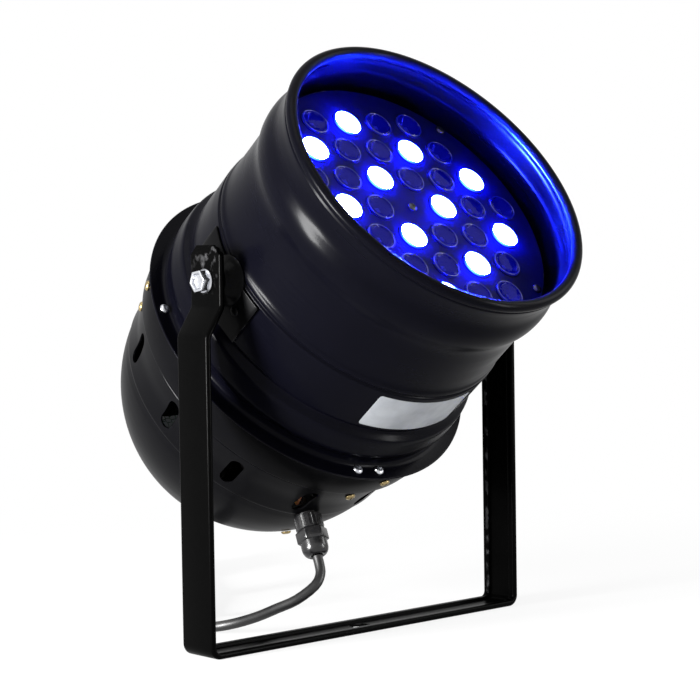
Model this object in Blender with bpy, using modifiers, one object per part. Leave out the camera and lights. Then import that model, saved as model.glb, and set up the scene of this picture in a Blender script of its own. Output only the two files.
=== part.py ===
"""LED par can held in a hemmed steel yoke.

All lengths are in metres and +Z is up. The origin is the centre of the clamp hole, on the
underside of the yoke. X runs along the tilt axis. The can is modelled in its own frame,
whose origin is the tilt pivot, whose +Z runs out of the front and whose +Y is up on the
object. A station is a distance along that +Z. An angle round the can is counted from the
underside towards -X.
"""
import math

import bmesh
import bpy
from mathutils import Matrix, Vector

# Gap between pieces that touch
SEAT = 0.0003

# Yoke
YOKE_SHEET = 0.002
STRIP_WIDTH = 0.030
HEM_WIDTH = 0.0055
JOGGLE_OUT = 0.0115
JOGGLE_HEIGHT = 0.018
EAR_DROP = 0.0153
EAR_RISE = 0.0222
EAR_CHAMFER = 0.007
BEND_RADIUS = 0.0075
CLAMP_HOLE_RADIUS = 0.0075
PIVOT_HEIGHT = 0.2323
REST_TILT = math.radians(39.12)

# Front barrel
SHELL = 0.0012
BAND_RADIUS = 0.1072
BAND_FRONT = 0.010
BAND_REAR = -0.024
TUBE_STEP = 0.0022
LIP_STATION = 0.1014
LIP_TUBE = 0.0036
LIP_INSET = 0.0015
# Collar behind the lip: how far behind it, and how far outside the band
COLLAR_STEPS = ((0.0044, 0.0014), (0.0174, -0.0010), (0.0234, 0.0004), (0.0294, 0.0014), (0.0374, 0.0007),
                (0.0444, -0.0012), (0.0514, -0.0020))
# Ridge in front of the band: how far in front of it, and how far inside it
RIDGE_STEPS = ((0.008, 0.0016), (0.003, 0.0003), (0.0015, 0.0013))
# Bead behind the band: how far behind it, and how far outside it
BEAD_STEPS = ((0.002, -0.0007), (0.0066, 0.0044))
# Groove in front of the flange: how far in front of it, and how far outside the band
GROOVE_STEPS = ((0.014, 0.0053), (0.0075, 0.0024), (0.003, 0.0018))
FLANGE_STATION = -0.058
FLANGE_REACH = 0.0138
FLANGE_ROOT = 0.0040
FLANGE_BORE = 0.0032
FLANGE_SCREW_TUCK = 0.0005
FLANGE_SCREW_ANGLE = math.radians(12)
EARTH_SCREW_ANGLE = math.radians(3.4)
ROUND_STEPS = 36

# Mouth
PLATE_STATION = 0.070
PLATE_SHEET = 0.0015
LENS_RADIUS = 0.0097
LENS_RISE = 0.002
LENS_RINGS = 3
LENS_SIDES = 8
CARRIER_SHEET = 0.0015
CARRIER_EDGE = 0.0014
CARRIER_MARGIN = 0.0102
EMITTER_SIZE = 0.0035
EMITTER_HEIGHT = 0.0045
BOARD_SHEET = 0.0016
PLATE_GAP = 0.002
PLATE_RING_DEPTH = 0.016
PLATE_SCREW_INSET = 0.0016
PLATE_SCREW_LENGTH = 0.0045
CENTRE_SCREW_HEAD = 0.0042
SINK_SHEET = 0.003
FIN_HEIGHT = 0.022
FIN_SHEET = 0.002
FIN_COUNT = 7

# Rear ring and bowl
RING_LENGTH = 0.0275
RING_FLARE = 0.0108
RING_TAPER = 0.0057
RING_BORE = 0.0030
RING_SCREW_SETBACK = 0.0105
RING_SCREW_LENGTH = 0.008
SKIRT_LAP = 0.004
DOME_DROP = 0.0085
DOME_DEPTH = 0.1095
DOME_SETBACK = 0.0224
DOME_SCREW_SETBACK = 0.055
# Slotted band of the bowl: its length, its rise over the dome and the crease behind it
VENT_BAND = 0.0385
VENT_RISE = 0.0058
VENT_CREASE = 0.0010
# Its side view, in shares of that length and of that rise
VENT_CURVE = ((0.052, 1.0), (0.286, 0.655), (0.545, 0.241), (0.805, 0.034), (1.0, -0.103))
SLOT_COUNT = 12
SLOT_LENGTH = 0.0253
SLOT_WIDTH = 0.010
SLOT_SETBACK = 0.0205
SLOT_FIRST_ANGLE = math.radians(16.5)
BOWL_SCREW_SETBACK = 0.009
BOWL_SCREW_LENGTH = 0.005

# Side pivots
BRACKET_SHEET = 0.0017
BRACKET_SETBACK = 0.001
BRACKET_FROM = math.radians(74)
BRACKET_TO = math.radians(110)
BOSS_RISE = 0.0083
BOSS_ROOT = 0.0140
BOSS_TOP = 0.0105
BOLT_RADIUS = 0.004
BOLT_CLEARANCE = 0.0003
BOLT_LENGTH = 0.032
BOLT_HEX = 0.013
BOLT_HEAD = 0.0065
BOLT_FLANGE_RADIUS = 0.0077
BOLT_FLANGE = 0.0016
BOLT_DISH = 0.0008
WASHER_SHEET = 0.0049
WASHER_RADIUS = 0.0085
NUT_HEIGHT = 0.0065
RIVET_HEAD_RADIUS = 0.0032
RIVET_CAP = 0.0014
RIVET_MARGIN = math.radians(6)
RIVET_SHANK_RADIUS = 0.0019
RIVET_TAIL = 0.003

# Small screws
SCREW_HEAD_RADIUS = 0.0034
SCREW_HEAD_HEIGHT = 0.0022
SCREW_SHANK_RADIUS = 0.0017
SCREW_LENGTH = 0.006

# Rear panel
PANEL_RADIUS = 0.050
PANEL_SHEET = 0.002
PANEL_LAP = 0.005
PANEL_MARGIN = 0.00387
BUTTON_RADIUS = 0.003
BUTTON_PROUD = 0.0025
BUTTON_TRAVEL = 0.001
BUTTON_SPARE = 0.0005
BUTTON_COLLAR = 0.0028
BUTTON_COLLAR_LIP = 0.001
BUTTON_PITCH = 0.012
BUTTON_COUNT = 4
BUTTON_ROW = 0.006
DISPLAY_LENGTH = 0.034
DISPLAY_WIDTH = 0.015
DISPLAY_ROW = 0.024
SOCKET_RADIUS = 0.012
SOCKET_BORE = 0.0088
SOCKET_SPREAD = 0.018
SOCKET_ROW = -0.020
SOCKET_DEPTH = 0.016
SOCKET_LIP = 0.002
SOCKET_PIN_RADIUS = 0.0012
SOCKET_PIN_RING = 0.0042
BOARD_STANDOFF = 0.0045
BOARD_FOOT = 0.003
BOARD_HEAD = 0.010

# Chassis inside the bowl
SUPPLY_LENGTH = 0.100
SUPPLY_WIDTH = 0.070
SUPPLY_HEIGHT = 0.034
SUPPLY_LIFT = 0.012
CHASSIS_SETBACK = 0.010

# Cable gland and lead
GLAND_STATION = -0.126
GLAND_ANGLE = math.radians(9)
GLAND_NECK_RADIUS = 0.0093
GLAND_NECK_HEIGHT = 0.0115
GLAND_SEAT = 0.0014
GLAND_HEX = 0.019
GLAND_HEX_HEIGHT = 0.008
GLAND_CAP_RADIUS = 0.009
GLAND_CAP_HEIGHT = 0.0105
GLAND_STUB_RADIUS = 0.0078
GLAND_STUB_LENGTH = 0.012
LOCKNUT_HEX = 0.022
LOCKNUT_HEIGHT = 0.005
LOCKNUT_CLEARANCE = 0.0018
CORD_DIAMETER = 0.0068
CORD_CLEARANCE = 0.0001

# Hank of the lead, standing on its edge
HANK_START = Vector((-0.0610, 0.0960, 0.0))
HANK_HEADING = Vector((0.611, 0.791, 0.0)).normalized()
HANK_FOLD = 0.041
HANK_RUN = 0.140
HANK_STEP = 0.0076
HANK_POINTS = 24
HANK_ENDS = CORD_DIAMETER
PLUG_LENGTH = 0.050
PLUG_WIDTH = 0.018
PLUG_HEIGHT = 0.026
PLUG_SLEEVE = 0.012
PLUG_SLEEVE_WALL = 0.0016
PLUG_EDGE = 0.003
PLUG_CONTACT_RADIUS = 0.002
PLUG_CONTACT_LENGTH = 0.019
PLUG_CONTACT_PITCH = 0.019
HANK_WAIST = 0.10
TIE_SHEET = 0.0009
TIE_WIDTH = 0.010


def material(name, colour, roughness, metallic):
    """Return a Principled material."""
    made = bpy.data.materials.new(name)
    made.use_nodes = True
    shader = made.node_tree.nodes["Principled BSDF"]
    shader.inputs["Base Color"].default_value = (*colour, 1.0)
    shader.inputs["Roughness"].default_value = roughness
    shader.inputs["Metallic"].default_value = metallic
    return made


def collection(name):
    """Return a new collection under the scene."""
    made = bpy.data.collections.new(name)
    bpy.context.scene.collection.children.link(made)
    return made


def place(obj, group, parent=None, matrix=None):
    """Link an object into a collection, under a parent, at a matrix in the parent's frame."""
    group.objects.link(obj)
    obj.parent = parent
    if matrix is not None:
        obj.matrix_basis = matrix
    return obj


def empty(name, parent=None, matrix=None):
    """Return a frame that other pieces are placed in."""
    return place(bpy.data.objects.new(name, None), parts, parent, matrix)


def shade(mesh):
    """Shade round faces smooth and keep the hard edges."""
    mesh.shade_smooth()
    mesh.set_sharp_from_angle(angle=math.radians(35))


def mesh_from(name, build):
    """Return a mesh that a function fills through a bmesh."""
    mesh = bpy.data.meshes.new(name)
    shape = bmesh.new()
    build(shape)
    bmesh.ops.recalc_face_normals(shape, faces=shape.faces)
    shape.to_mesh(mesh)
    shape.free()
    return mesh


def solid(name, mesh, finish, parent=None, matrix=None):
    """Add a piece of the object."""
    mesh.materials.append(finish)
    shade(mesh)
    return place(bpy.data.objects.new(name, mesh), parts, parent, matrix)


def guide(name, mesh, parent=None, matrix=None):
    """Add a shape that only cuts or joins other pieces."""
    obj = place(bpy.data.objects.new(name, mesh), cutters, parent, matrix)
    obj.display_type = "WIRE"
    obj.hide_render = True
    return obj


def combine(obj, other, operation="DIFFERENCE"):
    """Cut a piece with a guide, or join the guide to it."""
    modifier = obj.modifiers.new(other.name, "BOOLEAN")
    modifier.operation = operation
    modifier.solver = "EXACT"
    modifier.object = other


def cylinder(shape, radius, low, high, sides=24, matrix=None, top_radius=None):
    """Add a closed cylinder or cone along Z to a bmesh, between two heights."""
    top = radius if top_radius is None else top_radius
    middle = Matrix.Translation((0, 0, (low + high) / 2))
    place_at = middle if matrix is None else matrix @ middle
    bmesh.ops.create_cone(shape, cap_ends=True, segments=sides, radius1=radius, radius2=top,
                          depth=high - low, matrix=place_at)


def block(shape, size, centre, matrix=None):
    """Add a closed box to a bmesh."""
    scale = Matrix.Diagonal((size[0], size[1], size[2], 1.0))
    place_at = Matrix.Translation(centre) @ scale
    bmesh.ops.create_cube(shape, size=1.0, matrix=place_at if matrix is None else matrix @ place_at)


def prism(name, outlines, low, high):
    """Return a mesh of a flat outline with holes, between two heights."""
    curve = bpy.data.curves.new(name, "CURVE")
    curve.dimensions = "2D"
    curve.fill_mode = "BOTH"
    curve.extrude = (high - low) / 2
    for outline in outlines:
        spline = curve.splines.new("POLY")
        spline.points.add(len(outline) - 1)
        for point, (x, y) in zip(spline.points, outline):
            point.co = (x, y, 0.0, 1.0)
        spline.use_cyclic_u = True
    return mesh_of_curve(name, curve, Matrix.Translation((0, 0, (low + high) / 2)))


def mesh_of_curve(name, curve, matrix=None):
    """Turn a curve into a closed mesh with welded caps."""
    holder = bpy.data.objects.new(name, curve)
    bpy.context.scene.collection.objects.link(holder)
    bpy.context.view_layer.update()
    evaluated = holder.evaluated_get(bpy.context.evaluated_depsgraph_get())
    mesh = bpy.data.meshes.new_from_object(evaluated)
    bpy.data.objects.remove(holder)
    bpy.data.curves.remove(curve)
    shape = bmesh.new()
    shape.from_mesh(mesh)
    bmesh.ops.remove_doubles(shape, verts=shape.verts, dist=0.00001)
    bmesh.ops.recalc_face_normals(shape, faces=shape.faces)
    if matrix is not None:
        bmesh.ops.transform(shape, matrix=matrix, verts=shape.verts)
    shape.to_mesh(mesh)
    shape.free()
    mesh.materials.clear()
    mesh.name = name
    return mesh


def turned(name, profile, finish, parent, steps=ROUND_STEPS):
    """Add a ring turned from a closed profile of (station, radius) points, outer side first."""
    mesh = bpy.data.meshes.new(name)
    points = [(radius, 0.0, station) for station, radius in profile]
    edges = [(index, (index + 1) % len(points)) for index in range(len(points))]
    mesh.from_pydata(points, edges, [])
    obj = solid(name, mesh, finish, parent)
    screw = obj.modifiers.new("turn", "SCREW")
    screw.steps = steps
    screw.render_steps = steps
    screw.use_merge_vertices = True
    screw.merge_threshold = 0.00001
    screw.use_smooth_shade = True
    return obj


def arc(centre, radius, start, end, count):
    """Return points on an arc, angles in degrees."""
    angles = [math.radians(start + (end - start) * index / (count - 1)) for index in range(count)]
    return [(centre[0] + radius * math.cos(a), centre[1] + radius * math.sin(a)) for a in angles]


def circle(centre, radius, sides):
    """Return the corners of a regular outline."""
    return arc(centre, radius, 0, 360 - 360 / sides, sides)


def around(angle, radius, station, slope=0.0):
    """Return a frame on the can, +Z square to a surface whose radius grows by slope with station."""
    outward = Vector((-math.sin(angle), -math.cos(angle), 0))
    normal = (outward - Vector((0, 0, slope))).normalized()
    frame = normal.to_track_quat("Z", "Y").to_matrix().to_4x4()
    return Matrix.Translation(outward * radius + Vector((0, 0, station))) @ frame


def rounded(corners, radii, count=4):
    """Return an open line with its inner corners rounded."""
    line = [corners[0]]
    for before, corner, after, radius in zip(corners, corners[1:], corners[2:], radii):
        first = (Vector(before) - Vector(corner)).normalized()
        second = (Vector(after) - Vector(corner)).normalized()
        half = first.angle(second) / 2
        centre = Vector(corner) + (first + second).normalized() * radius / math.sin(half)
        start = Vector(corner) + first * radius / math.tan(half) - centre
        end = Vector(corner) + second * radius / math.tan(half) - centre
        for index in range(count):
            turn = start.lerp(end, index / (count - 1)).normalized() * radius
            line.append(tuple(centre + turn))
    return line + [corners[-1]]


def offset_line(line, distance):
    """Return an open line moved to its left by a distance, with mitred corners."""
    moved = []
    for index, point in enumerate(line):
        before = Vector(line[max(index - 1, 0)])
        after = Vector(line[min(index + 1, len(line) - 1)])
        here = Vector(point)
        first = (here - before if index else after - here).normalized()
        second = (after - here if index < len(line) - 1 else here - before).normalized()
        normal = Vector((-first.y - second.y, first.x + second.x)).normalized()
        stretch = 1.0 / max(0.5, normal.dot(Vector((-first.y, first.x))))
        moved.append(tuple(here + normal * distance * stretch))
    return moved


def clear_scene():
    """Remove every object of the scene."""
    for obj in list(bpy.data.objects):
        bpy.data.objects.remove(obj, do_unlink=True)


# Places that several pieces share
BRACKET_RADIUS = BAND_RADIUS + SEAT
PAD_FACE = BRACKET_RADIUS + BRACKET_SHEET + BOSS_RISE
EAR_INNER = PAD_FACE + SEAT + WASHER_SHEET + SEAT
EAR_OUTER = EAR_INNER + YOKE_SHEET
LEG_OUTER = EAR_OUTER + JOGGLE_OUT
BARREL_INNER = BAND_RADIUS - TUBE_STEP - SHELL
FLANGE_REAR = FLANGE_STATION - SHELL
RING_FRONT = FLANGE_REAR - SEAT
RING_REAR = RING_FRONT - RING_LENGTH
RING_FRONT_RADIUS = BAND_RADIUS + RING_FLARE
RING_REAR_RADIUS = RING_FRONT_RADIUS - RING_TAPER
DOME_RADIUS = RING_REAR_RADIUS - DOME_DROP
SKIRT_RADIUS = RING_REAR_RADIUS - SHELL - SEAT
SKIRT_FRONT = RING_FRONT - SHELL - SKIRT_LAP
DOME_CENTRE = RING_REAR - DOME_SETBACK
FACE_RADIUS = PANEL_RADIUS + PANEL_MARGIN
REAR_FACE_REACH = DOME_DEPTH * math.sqrt(1 - (FACE_RADIUS / DOME_RADIUS) ** 2)
REAR_FACE = DOME_CENTRE - REAR_FACE_REACH
SLOT_STATION = RING_REAR - SLOT_SETBACK
PANEL_OPENING = PANEL_RADIUS - PANEL_LAP
GLAND_TOP = GLAND_NECK_HEIGHT + GLAND_HEX_HEIGHT + GLAND_CAP_HEIGHT
CARRIER_RADIUS = BARREL_INNER - CARRIER_MARGIN
LENS_PITCH = (CARRIER_RADIUS - LENS_RADIUS - CARRIER_EDGE) / LENS_RINGS
PLATE_RING_INNER = CARRIER_RADIUS + SEAT
PLATE_RING_RADIUS = BARREL_INNER - SEAT
PLATE_RADIUS = PLATE_RING_RADIUS - PLATE_GAP
PLATE_BACK = PLATE_STATION - PLATE_SHEET
CARRIER_BACK = PLATE_BACK - SEAT - CARRIER_SHEET
BOARD_FRONT = CARRIER_BACK - SEAT - EMITTER_HEIGHT
SINK_FRONT = BOARD_FRONT - BOARD_SHEET - SEAT
SINK_BACK = SINK_FRONT - SINK_SHEET
CHASSIS_FRONT = SKIRT_FRONT - CHASSIS_SETBACK
CORD_RADIUS = CORD_DIAMETER / 2
CORD_LOW = CORD_RADIUS + CORD_CLEARANCE

clear_scene()
parts = collection("led_par_can")
cutters = collection("led_par_can_cutters")

black_steel = material("black_steel", (0.018, 0.018, 0.020), 0.42, 0.6)
black_shell = material("black_shell", (0.015, 0.015, 0.017), 0.30, 0.5)
dark_plate = material("dark_plate", (0.010, 0.011, 0.016), 0.50, 0.0)
clear_lens = material("clear_lens", (0.70, 0.82, 1.00), 0.05, 0.0)
board_white = material("board_white", (0.75, 0.78, 0.80), 0.50, 0.0)
bare_metal = material("bare_metal", (0.60, 0.60, 0.62), 0.30, 1.0)
zinc = material("zinc", (0.62, 0.63, 0.65), 0.28, 1.0)
brass = material("brass", (0.70, 0.50, 0.20), 0.30, 1.0)
black_plastic = material("black_plastic", (0.012, 0.012, 0.013), 0.28, 0.0)
cord_rubber = material("cord_rubber", (0.020, 0.020, 0.022), 0.45, 0.0)

can = empty("can_frame", None, Matrix.Translation((0, 0, PIVOT_HEIGHT))
            @ Matrix.Rotation(math.pi / 2 - REST_TILT, 4, "X"))


def cylinder_mesh(name, *rounds):
    """Return a mesh of separate cylinders, each (radius, low, high, sides, matrix)."""
    def build(shape):
        for radius, low, high, sides, matrix in rounds:
            cylinder(shape, radius, low, high, sides, matrix)
    return mesh_from(name, build)


def build_yoke():
    """Strip bent to a U, with hemmed edges, joggled ears and a clamp hole."""
    half = [(-EAR_OUTER, PIVOT_HEIGHT + EAR_RISE), (-EAR_OUTER, PIVOT_HEIGHT - EAR_DROP),
            (-LEG_OUTER, PIVOT_HEIGHT - EAR_DROP - JOGGLE_HEIGHT), (-LEG_OUTER, 0.0)]
    corners = half + [(-x, z) for x, z in reversed(half)]

    def line_at(depth):
        """Return the side view of the bent strip at a depth from its outer face."""
        bends = [BEND_RADIUS, BEND_RADIUS, BEND_RADIUS - depth]
        return rounded(offset_line(corners, depth), bends + bends[::-1])

    edge = STRIP_WIDTH / 2
    lip = edge - HEM_WIDTH
    section = [(-edge, 0), (edge, 0), (edge, 2), (lip, 2), (lip, 1), (-lip, 1), (-lip, 2), (-edge, 2)]
    lines = [line_at(layers * YOKE_SHEET) for layers in range(3)]

    def strip(shape):
        """Sweep the hemmed section along the bent line."""
        rings = [[shape.verts.new((lines[layers][index][0], y, lines[layers][index][1]))
                  for y, layers in section] for index in range(len(lines[0]))]
        for near, far in zip(rings, rings[1:]):
            for index in range(len(section)):
                after = (index + 1) % len(section)
                shape.faces.new((near[index], near[after], far[after], far[index]))
        shape.faces.new(rings[0])
        shape.faces.new(rings[-1][::-1])

    yoke = solid("yoke", mesh_from("yoke", strip), black_steel)
    across = Matrix.Translation((0, 0, PIVOT_HEIGHT)) @ Matrix.Rotation(math.pi / 2, 4, "Y")
    reach = LEG_OUTER * 1.1
    holes = cylinder_mesh("yoke_holes",
                          (BOLT_RADIUS + BOLT_CLEARANCE, -reach, reach, 16, across),
                          (CLAMP_HOLE_RADIUS, -YOKE_SHEET, YOKE_SHEET * 2, 20, None))
    combine(yoke, guide("yoke_holes", holes))
    top = PIVOT_HEIGHT + EAR_RISE

    def corner(shape):
        """Add a square bar that takes off both ear corners on one edge."""
        for side in (-1, 1):
            turn = (Matrix.Translation((0, side * STRIP_WIDTH / 2, top))
                    @ Matrix.Rotation(math.pi / 4, 4, "X"))
            bar = EAR_CHAMFER * math.sqrt(2)
            block(shape, (2 * reach, bar, bar), (0, 0, 0), turn)

    combine(yoke, guide("ear_corners", mesh_from("ear_corners", corner)))


def barrel_profile():
    """Return the outer side of the front barrel, lip to flange, and its plain inner side."""
    rear = FLANGE_REACH - SHELL / 2
    collar = [(LIP_STATION - behind, BAND_RADIUS + rise) for behind, rise in COLLAR_STEPS]
    ridge = [(BAND_FRONT + ahead, BAND_RADIUS - inside) for ahead, inside in RIDGE_STEPS]
    bead = [(BAND_REAR - behind, BAND_RADIUS + rise) for behind, rise in BEAD_STEPS]
    groove = [(FLANGE_STATION + ahead, BAND_RADIUS + rise) for ahead, rise in GROOVE_STEPS]
    outer = arc((LIP_STATION, BAND_RADIUS - LIP_INSET), LIP_TUBE, -150, 140, 6) + collar + ridge
    outer += [(BAND_FRONT, BAND_RADIUS), (BAND_REAR, BAND_RADIUS)] + bead + groove
    outer += [(FLANGE_STATION, BAND_RADIUS + FLANGE_ROOT), (FLANGE_STATION, BAND_RADIUS + rear),
              (FLANGE_STATION - SHELL / 2, BAND_RADIUS + FLANGE_REACH), (FLANGE_REAR, BAND_RADIUS + rear)]

    def inside(point, depth=SHELL):
        """Return a point of the outer side moved in by the sheet."""
        return point[0], point[1] - depth

    inner = [(FLANGE_REAR, BAND_RADIUS + FLANGE_BORE)]
    inner += [inside(point) for point in (groove[2], groove[1], groove[0], bead[1])]
    inner += [(BAND_REAR, BAND_RADIUS - SHELL), (BAND_FRONT, BAND_RADIUS - SHELL),
              (ridge[0][0], BARREL_INNER), (collar[6][0], BARREL_INNER)]
    inner += [inside(collar[3]), inside(collar[1], 2 * SHELL),
              (LIP_STATION - LIP_TUBE - COLLAR_STEPS[0][0], BAND_RADIUS - SHELL)]
    return outer + inner


def pivot_line(side):
    """Return a frame on the tilt axis, +Z outwards on one side of the can."""
    return Matrix.Rotation(side * math.pi / 2, 4, "Y")


def rivet_places(side):
    """Return the frames of the two rivets of one bracket, on the band's surface."""
    station = (BAND_REAR + BAND_FRONT) / 2
    spread = (BRACKET_TO - BRACKET_FROM) / 2 - RIVET_MARGIN
    middle = (BRACKET_FROM + BRACKET_TO) / 2
    return [around(-side * (middle + step * spread), BRACKET_RADIUS, station) for step in (-1, 1)]


def screw(name, matrix, finish, length=SCREW_LENGTH, head_radius=SCREW_HEAD_RADIUS):
    """Add a screw with a cross recess, its head seated on z = 0 of a frame on the can."""
    def body(shape):
        """Build the shank."""
        cylinder(shape, SCREW_SHANK_RADIUS, -length, SCREW_HEAD_HEIGHT / 2, 6)

    piece = solid(name, cylinder_mesh(name, (head_radius, SEAT, SCREW_HEAD_HEIGHT, 10, None)),
                  finish, can, matrix)
    combine(piece, guide(name + "_shank", mesh_from(name + "_shank", body), can, matrix), "UNION")
    for bar, turn in enumerate((0.0, math.pi / 2)):
        slot = mesh_from(name + "_slot", lambda shape, turn=turn: block(
            shape, (1.1 * head_radius, head_radius / 4, SCREW_HEAD_HEIGHT),
            (0, 0, SCREW_HEAD_HEIGHT * 1.1), Matrix.Rotation(turn, 4, "Z")))
        combine(piece, guide(f"{name}_slot_{bar}", slot, can, matrix))
    return piece


def shell_holes(name, places, radius, depth=0.008, sides=8):
    """Return a guide with one hole at each frame, through a thin shell."""
    rounds = [(radius, -depth, depth, sides, matrix) for matrix in places]
    return guide(name, cylinder_mesh(name, *rounds), can)


def plate_screw_places():
    """Return the frames of the four screws of the LED plate."""
    radius = (PLATE_RING_INNER + BARREL_INNER) / 2 - PLATE_SCREW_INSET
    return [Matrix.Translation((radius * math.cos(a), radius * math.sin(a), PLATE_STATION))
            for a in (math.radians(45 + 90 * index) for index in range(4))]


def flange_screw_places():
    """Return the frames of the four flange screws and of the earth screw beside one of them."""
    radius = BAND_RADIUS + FLANGE_ROOT + SCREW_HEAD_RADIUS - FLANGE_SCREW_TUCK
    angles = [FLANGE_SCREW_ANGLE + math.tau * index / 4 for index in range(4)] + [EARTH_SCREW_ANGLE]
    return [Matrix.Translation((-radius * math.sin(a), -radius * math.cos(a), FLANGE_STATION))
            for a in angles]


def build_barrel():
    """Spun front barrel with the holes for its pivots, rivets and flange screws."""
    barrel = turned("front_barrel", barrel_profile(), black_shell, can)
    reach = BAND_RADIUS * 1.2
    pivots = cylinder_mesh("barrel_pivots", (BOLT_RADIUS + BOLT_CLEARANCE, -reach, reach, 16,
                                             pivot_line(1)))
    combine(barrel, guide("barrel_pivots", pivots, can))
    rivets = rivet_places(-1) + rivet_places(1)
    combine(barrel, shell_holes("barrel_rivets", rivets, RIVET_SHANK_RADIUS + SEAT))
    combine(barrel, shell_holes("barrel_flange_holes", flange_screw_places(),
                                SCREW_SHANK_RADIUS + SEAT, 2 * SHELL))


def lens_places():
    """Return the centres of the lenses on a hexagonal grid, without the middle one."""
    first = Vector((1.0, 0.0)) * LENS_PITCH
    second = Vector((-0.5, -math.sqrt(3) / 2)) * LENS_PITCH
    steps = range(-LENS_RINGS, LENS_RINGS + 1)
    return [first * q + second * r for q in steps for r in steps
            if abs(q - r) <= LENS_RINGS and (q or r)]


def build_mouth():
    """LED plate, lenses, board and heat sink, and the ring that carries them."""
    holes = [circle(tuple(place), LENS_RADIUS + SEAT, LENS_SIDES) for place in lens_places()]
    centre = circle((0, 0), SCREW_SHANK_RADIUS + SEAT, 8)
    screws = [circle(tuple(matrix.translation.xy), SCREW_SHANK_RADIUS + SEAT, 8)
              for matrix in plate_screw_places()]
    plate = prism("led_plate", [circle((0, 0), PLATE_RADIUS, ROUND_STEPS), centre] + holes + screws,
                  PLATE_BACK, PLATE_STATION)
    solid("led_plate", plate, dark_plate, can)

    carrier = prism("lens_array", [circle((0, 0), CARRIER_RADIUS, ROUND_STEPS), centre],
                    CARRIER_BACK, CARRIER_BACK + CARRIER_SHEET)
    lenses = solid("lens_array", carrier, clear_lens, can)

    def domes(shape):
        """Add a low dome on a short barrel for each lens."""
        rise = PLATE_STATION + LENS_RISE
        levels = [(LENS_RADIUS, CARRIER_BACK + CARRIER_SHEET / 2), (LENS_RADIUS, PLATE_STATION),
                  (LENS_RADIUS * 0.72, PLATE_STATION + LENS_RISE * 0.78)]
        for place in lens_places():
            rings = [[shape.verts.new((place.x + x, place.y + y, height)) for x, y in
                      circle((0, 0), radius, LENS_SIDES)] for radius, height in levels]
            for low, high in zip(rings, rings[1:]):
                for index in range(LENS_SIDES):
                    after = (index + 1) % LENS_SIDES
                    shape.faces.new((low[index], low[after], high[after], high[index]))
            shape.faces.new(rings[0][::-1])
            top = shape.verts.new((place.x, place.y, rise))
            for index in range(LENS_SIDES):
                shape.faces.new((rings[-1][index], rings[-1][(index + 1) % LENS_SIDES], top))

    combine(lenses, guide("lens_domes", mesh_from("lens_domes", domes), can), "UNION")

    board = prism("led_board", [circle((0, 0), CARRIER_RADIUS, 24), centre],
                  BOARD_FRONT - BOARD_SHEET, BOARD_FRONT)
    led_board = solid("led_board", board, board_white, can)

    def emitters(shape):
        """Add a square emitter under each lens."""
        for place in lens_places():
            block(shape, (EMITTER_SIZE, EMITTER_SIZE, EMITTER_HEIGHT + BOARD_SHEET / 2),
                  (place.x, place.y, BOARD_FRONT + (EMITTER_HEIGHT - BOARD_SHEET / 2) / 2))

    combine(led_board, guide("emitters", mesh_from("emitters", emitters), can), "UNION")

    def fins(shape):
        """Add the row of cooling fins behind the sink plate."""
        spread = 2 * CARRIER_RADIUS * 0.86
        for index in range(FIN_COUNT):
            x = (index / (FIN_COUNT - 1) - 0.5) * spread
            length = 2 * math.sqrt((CARRIER_RADIUS * 0.95) ** 2 - x * x)
            block(shape, (FIN_SHEET, length, FIN_HEIGHT + SINK_SHEET / 2),
                  (x, 0, SINK_BACK - (FIN_HEIGHT - SINK_SHEET / 2) / 2))

    sink_radius = PLATE_RING_RADIUS - SHELL - SEAT
    sink = prism("heat_sink", [circle((0, 0), sink_radius, ROUND_STEPS), centre], SINK_BACK, SINK_FRONT)
    heat_sink = solid("heat_sink", sink, bare_metal, can)
    combine(heat_sink, guide("fins", mesh_from("fins", fins), can), "UNION")
    bore = cylinder_mesh("sink_bore", (SCREW_SHANK_RADIUS + SEAT, SINK_BACK - FIN_HEIGHT,
                                       SINK_FRONT + SINK_SHEET, 12, None))
    combine(heat_sink, guide("sink_bore", bore, can))

    front = PLATE_BACK - SEAT
    back = front - PLATE_RING_DEPTH
    ring = turned("plate_ring", [(front, PLATE_RING_INNER), (front, PLATE_RING_RADIUS),
                                 (back, PLATE_RING_RADIUS), (back, PLATE_RING_RADIUS - SHELL),
                                 (front - SHELL, PLATE_RING_RADIUS - SHELL),
                                 (front - SHELL, PLATE_RING_INNER)], black_steel, can)
    combine(ring, shell_holes("plate_ring_holes", plate_screw_places(),
                              SCREW_SHANK_RADIUS + SEAT))
    for index, matrix in enumerate(plate_screw_places()):
        screw(f"plate_screw_{index + 1}", matrix, zinc, PLATE_SCREW_LENGTH)
    screw("centre_screw", Matrix.Translation((0, 0, PLATE_STATION)), zinc,
          PLATE_STATION - SINK_BACK, CENTRE_SCREW_HEAD)


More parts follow.
